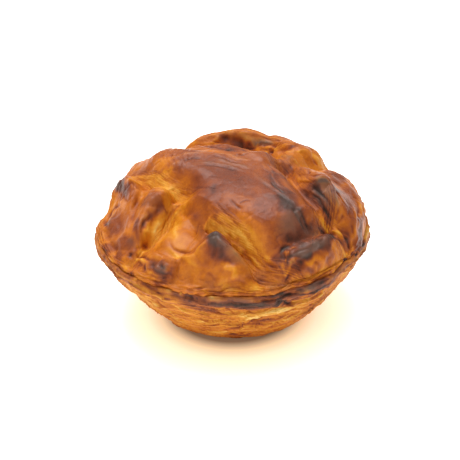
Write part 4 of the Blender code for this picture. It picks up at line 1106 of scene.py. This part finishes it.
def build_lid():
    share, angle, faces = lid_net(LID_RINGS)
    points, x, y, lift, tracks = lid_points(share, angle)
    z = points[:, 2] / MM
    normals = face_normals(points, faces)
    free = ease((1.0 - share) / 0.014)
    edge = (1.0 - share) * LID_TRAVEL
    pillow = np.hypot(*oval(SWELLS["pillow"], x, y))
    blister = ease(1.8 - np.hypot(*oval(SWELLS["vent_blister"], x, y)))
    detail, tone, layered, across, along = np.zeros((5, len(x)))

    for layers in LAYERS:
        track = tracks[layers.fold]
        height, shade, mask, out = layer_relief(layers, track, x, y)
        detail += height
        tone += shade
        rise = np.sign(-FOLDS[layers.fold].path[1][2]) * z
        across = np.where(mask > layered, out + 0.8 * rise, across)
        along = np.where(mask > layered, track.along, along)
        layered = np.maximum(layered, mask)

    skin = 1.0 - 0.7 * layered
    taut = 0.35 + 0.65 * ease((pillow - 0.70) / 0.3)
    detail += SKIN_LUMPS * taut * skin * (1.0 - 0.7 * blister) * rough_noise(x, y, z, 5.0, 11, 4)
    add_creases(x, y, z, skin * (1.3 * taut - 0.3) * (1.0 - blister), detail, tone)

    lips = ridges(edge / LIP_SPACING + 1.1 * rough_noise(x, y, z, 9.0, 25) + 9.0)
    lip_zone = band(edge, 1.2, 8.5, 2.5) * ease(0.62 + 1.1 * soft_noise(x, y, z, 9.0, 26))
    detail += LIP_HEIGHT * lip_zone * (lips - 0.55)
    tone += 0.16 * lip_zone * (1.0 - lips) ** 2
    rim_lumps = rough_noise(RIM_CIRCLE * np.cos(angle), RIM_CIRCLE * np.sin(angle), edge * 2.2, 8.0, 27)
    detail += RIM_LUMPS * band(edge, 1.0, 17.0, 4.0) * rim_lumps * (1.0 - 0.6 * layered)
    detail += SEAM_FILL_LID * band(edge, 0.2, 1.5, 1.0) * (0.75 + 0.5 * rim_lumps)
    lip_strands = 0.7 * lip_zone
    across = np.where(lip_strands > layered, edge, across)
    along = np.where(lip_strands > layered, RIM_CIRCLE * angle, along)

    wrinkle = ridges(pillow * 14.0 + 0.8 * soft_noise(x, y, z, 7.0, 21))
    back = ease((y - x * 0.2 - 4.0) / 10.0) * band(pillow, 0.62, 1.02, 0.2)
    detail += BACK_WRINKLE * back * (wrinkle - 0.5)
    tone += 0.05 * back * (0.6 - wrinkle)

    bake, ash = brown_and_shade_lid(x, y, 0.42 + 0.019 * np.clip(lift, -9.0, 10.0))
    bake += tone + 0.05 * rough_noise(x, y, z, 9.0, 41)
    draw_marks(LID_MARKS, x, y, detail, bake, ash)
    gloss = 0.45 + 0.05 * np.clip(lift, -8.0, 10.0) - 0.3 * layered
    points = points + normals * (detail * free * MM)[:, None]

    first, rim_count = len(points), 6 * LID_RINGS
    rim = np.arange(first - rim_count, first)
    ring = first + np.arange(rim_count)
    middle = np.full(rim_count, first + rim_count)
    next_rim, next_ring = np.roll(rim, -1), np.roll(ring, -1)
    level = HIDDEN_HEIGHT + SEAM_GAP
    points = np.vstack([points, hidden_ring(angle[rim], level), [[0.0, 0.0, level]]])
    below = [(rim, ring, next_rim), (next_rim, ring, next_ring), (ring, middle, next_ring)]
    faces = np.concatenate([faces, *[np.stack(corners, axis=-1) for corners in below]])
    return make_mesh("lid_crust", points, faces,
                     {"bake": (bake, 0.4), "gloss": (gloss, 0.2), "ash": (ash, 0.0),
                      "strands": (np.maximum(layered, lip_strands), 0.0)},
                     {"across": across, "along": along})


# ---- The case ---------------------------------------------------------------------------------
def build_case():
    points, angle, height, outside = case_points(CASE_COLUMNS, CASE_ROWS)
    column = np.arange(CASE_COLUMNS)
    after = np.roll(column, -1)
    rows = np.arange(CASE_ROWS - 1)[:, None] * CASE_COLUMNS
    quads = np.stack([rows + column, rows + CASE_COLUMNS + column, rows + CASE_COLUMNS + after,
                      rows + after], axis=-1).reshape(-1, 4)
    normals = face_normals(points, np.concatenate([quads[:, :3], quads[:, [0, 2, 3]]]))
    round_x = CASE_CIRCLE * np.cos(angle)
    round_y = CASE_CIRCLE * np.sin(angle)

    level = height.copy()
    for cell, size, seed in LEVEL_WAVES:
        level += size * soft_noise(round_x, round_y, height, cell, seed)
    detail = np.zeros_like(height)
    tone = 0.10 * rough_noise(round_x, round_y, height * 2.5, 12.0, 61)
    for spacing, size, reach, seed in SHELVES:
        phase = level / spacing + 30.0
        index = np.floor(phase)
        part = phase - index
        amount = ease(0.5 + 1.5 * soft_noise(round_x, round_y, index * 17.0, reach, seed))
        shelf = part ** 2.2 * ease((1.0 - part) / 0.10)
        detail += size * amount * (shelf - 0.35)
        tone += amount * (0.20 * np.exp(-((part - 0.97) / 0.10) ** 2) + 0.10 * shelf - 0.06)
    detail += RIM_BULGE * (ease((height - 30.5) / 3.0) + band(height, 33.2, 36.4, 1.6))
    lip = 0.7 + 0.5 * soft_noise(round_x, round_y, height, 7.0, 54)
    detail += SEAM_FILL_CASE * lip * band(height, 35.4, 37.2, 0.8)
    tone += 0.08 * ease((height - 30.0) / 4.0)

    bake, ash = brown_and_shade_case(angle, height, np.full_like(height, 0.34))
    bake += tone
    ash = 0.16 + 0.84 * ash
    draw_marks(CASE_MARKS, angle % (2.0 * math.pi) * CASE_CIRCLE, height, detail, bake, ash)
    gloss = 0.25 + 0.2 * ease((height - 28.0) / 6.0)
    points = points + normals * (detail * outside * MM)[:, None]

    count = len(points)
    ring = count + column
    middle, foot_middle = count + CASE_COLUMNS, count + CASE_COLUMNS + 1
    foot = (CASE_ROWS - 1) * CASE_COLUMNS + column
    points = np.vstack([points, hidden_ring(angle[column], HIDDEN_HEIGHT),
                        [[0.0, 0.0, HIDDEN_HEIGHT], [*BASE_SHIFT, 0.0]]])
    faces = quads.tolist()
    for here, there in zip(column, after):
        faces += [[here, there, ring[there], ring[here]], [ring[here], ring[there], middle],
                  [foot[there], foot[here], foot_middle]]
    return make_mesh("case_crust", points, faces,
                     {"bake": (bake, 0.35), "gloss": (gloss, 0.2), "ash": (ash, 0.0),
                      "strands": (0.75 * outside, 0.0)},
                     {"across": level, "along": CASE_CIRCLE * angle})


lid = build_lid()
lid.data.materials.append(pastry_material("glazed_crust", fine_scale=420.0, bump_height=0.6 * MM,
                                          dull=0.55, glossy=0.28, coat=0.10))
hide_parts("pastry_lid")
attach(lid, "root")

case = build_case()
case.data.materials.append(pastry_material("flaky_crust", fine_scale=520.0, bump_height=0.8 * MM,
                                           dull=0.7, glossy=0.42, coat=0.06))
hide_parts("pastry_case")
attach(case, "root")


# ---- Floor, light and camera ------------------------------------------------------------------
def add_floor():
    """A pale floor that gives off light of its own, with a painted contact shadow at the pie's foot and a
    painted warm glow round it.
    """
    mesh = bpy.data.meshes.new("floor")
    corners = [(-1, -1), (1, -1), (1, 1), (-1, 1)]
    mesh.from_pydata([(x * FLOOR_REACH, y * FLOOR_REACH, 0.0) for x, y in corners], [],
                     [(0, 1, 2, 3)])
    paper = Nodes("floor_painted_glow")
    place = paper.add("ShaderNodeTexCoord").outputs["Object"]
    place = paper.add("ShaderNodeVectorMath", {0: place, 1: (0.0, GLOW_FORWARD, 0.0)},
                      operation="ADD").outputs[0]
    far = paper.add("ShaderNodeVectorMath", {0: place}, operation="LENGTH").outputs["Value"]
    # Painted contact shadow and warm glow, used both as colour and as light given off
    shadow_and_glow = paper.ramp(paper.math("MULTIPLY", far, 10.0), FLOOR_SHADOW_AND_GLOW)
    paper.fill(paper.shader, {"Emission Color": shadow_and_glow, "Emission Strength": 0.85,
                              "Base Color": shadow_and_glow, "Roughness": 0.9})
    mesh.materials.append(paper.material)
    floor = bpy.data.objects.new("floor", mesh)
    bpy.context.scene.collection.objects.link(floor)
    return floor


def add_sky():
    """A white surround, brightest above and a little behind the pie."""
    world = bpy.data.worlds.new("studio")
    world.use_nodes = True
    nodes, links = world.node_tree.nodes, world.node_tree.links
    backdrop = nodes["Background"]
    backdrop.inputs["Color"].default_value = (1.0, 0.985, 0.97, 1.0)
    facing = nodes.new("ShaderNodeVectorMath")
    facing.operation = "DOT_PRODUCT"
    facing.inputs[1].default_value = (0.0, 0.45, 0.9)
    links.new(nodes.new("ShaderNodeTexCoord").outputs["Generated"], facing.inputs[0])
    level = nodes.new("ShaderNodeMapRange")
    level.interpolation_type = "SMOOTHSTEP"
    for socket, value in SKY_LEVELS.items():
        level.inputs[socket].default_value = value
    links.new(facing.outputs["Value"], level.inputs["Value"])
    links.new(level.outputs[0], backdrop.inputs["Strength"])
    bpy.context.scene.world = world


def softbox(name, place, size, power):
    light = bpy.data.lights.new(name, "AREA")
    light.shape = "DISK"
    light.size = size
    light.energy = power
    thing = bpy.data.objects.new(name, light)
    thing.location = place
    aim = Vector((0.0, 0.0, TARGET_HEIGHT))
    thing.rotation_euler = (aim - Vector(place)).to_track_quat("-Z", "Y").to_euler()
    bpy.context.scene.collection.objects.link(thing)


def add_camera():
    """The photo's camera; the pie's middle lies a little off the middle of the image."""
    data = bpy.data.cameras.new("photo_camera")
    data.sensor_width = 36.0
    data.lens = data.sensor_width * FOCAL_PIXELS / IMAGE
    data.shift_x = (IMAGE / 2 - MIDDLE_COLUMN) / IMAGE
    data.shift_y = (MIDDLE_ROW - IMAGE / 2) / IMAGE
    data.clip_start = 0.01
    camera = bpy.data.objects.new("photo_camera", data)
    away = Vector((0.0, -math.cos(ELEVATION), math.sin(ELEVATION)))
    camera.location = Vector((*FRAME_SHIFT, TARGET_HEIGHT)) + away * DISTANCE
    camera.rotation_euler = (-away).to_track_quat("-Z", "Y").to_euler()
    bpy.context.scene.collection.objects.link(camera)
    bpy.context.scene.camera = camera


add_floor()
add_sky()
softbox("top_softbox", (-0.10, 0.28, 0.75), size=0.60, power=6.0)
softbox("front_softbox", (-0.32, -0.72, 0.62), size=0.8, power=2.6)
add_camera()
bpy.context.scene.view_settings.view_transform = "Standard"
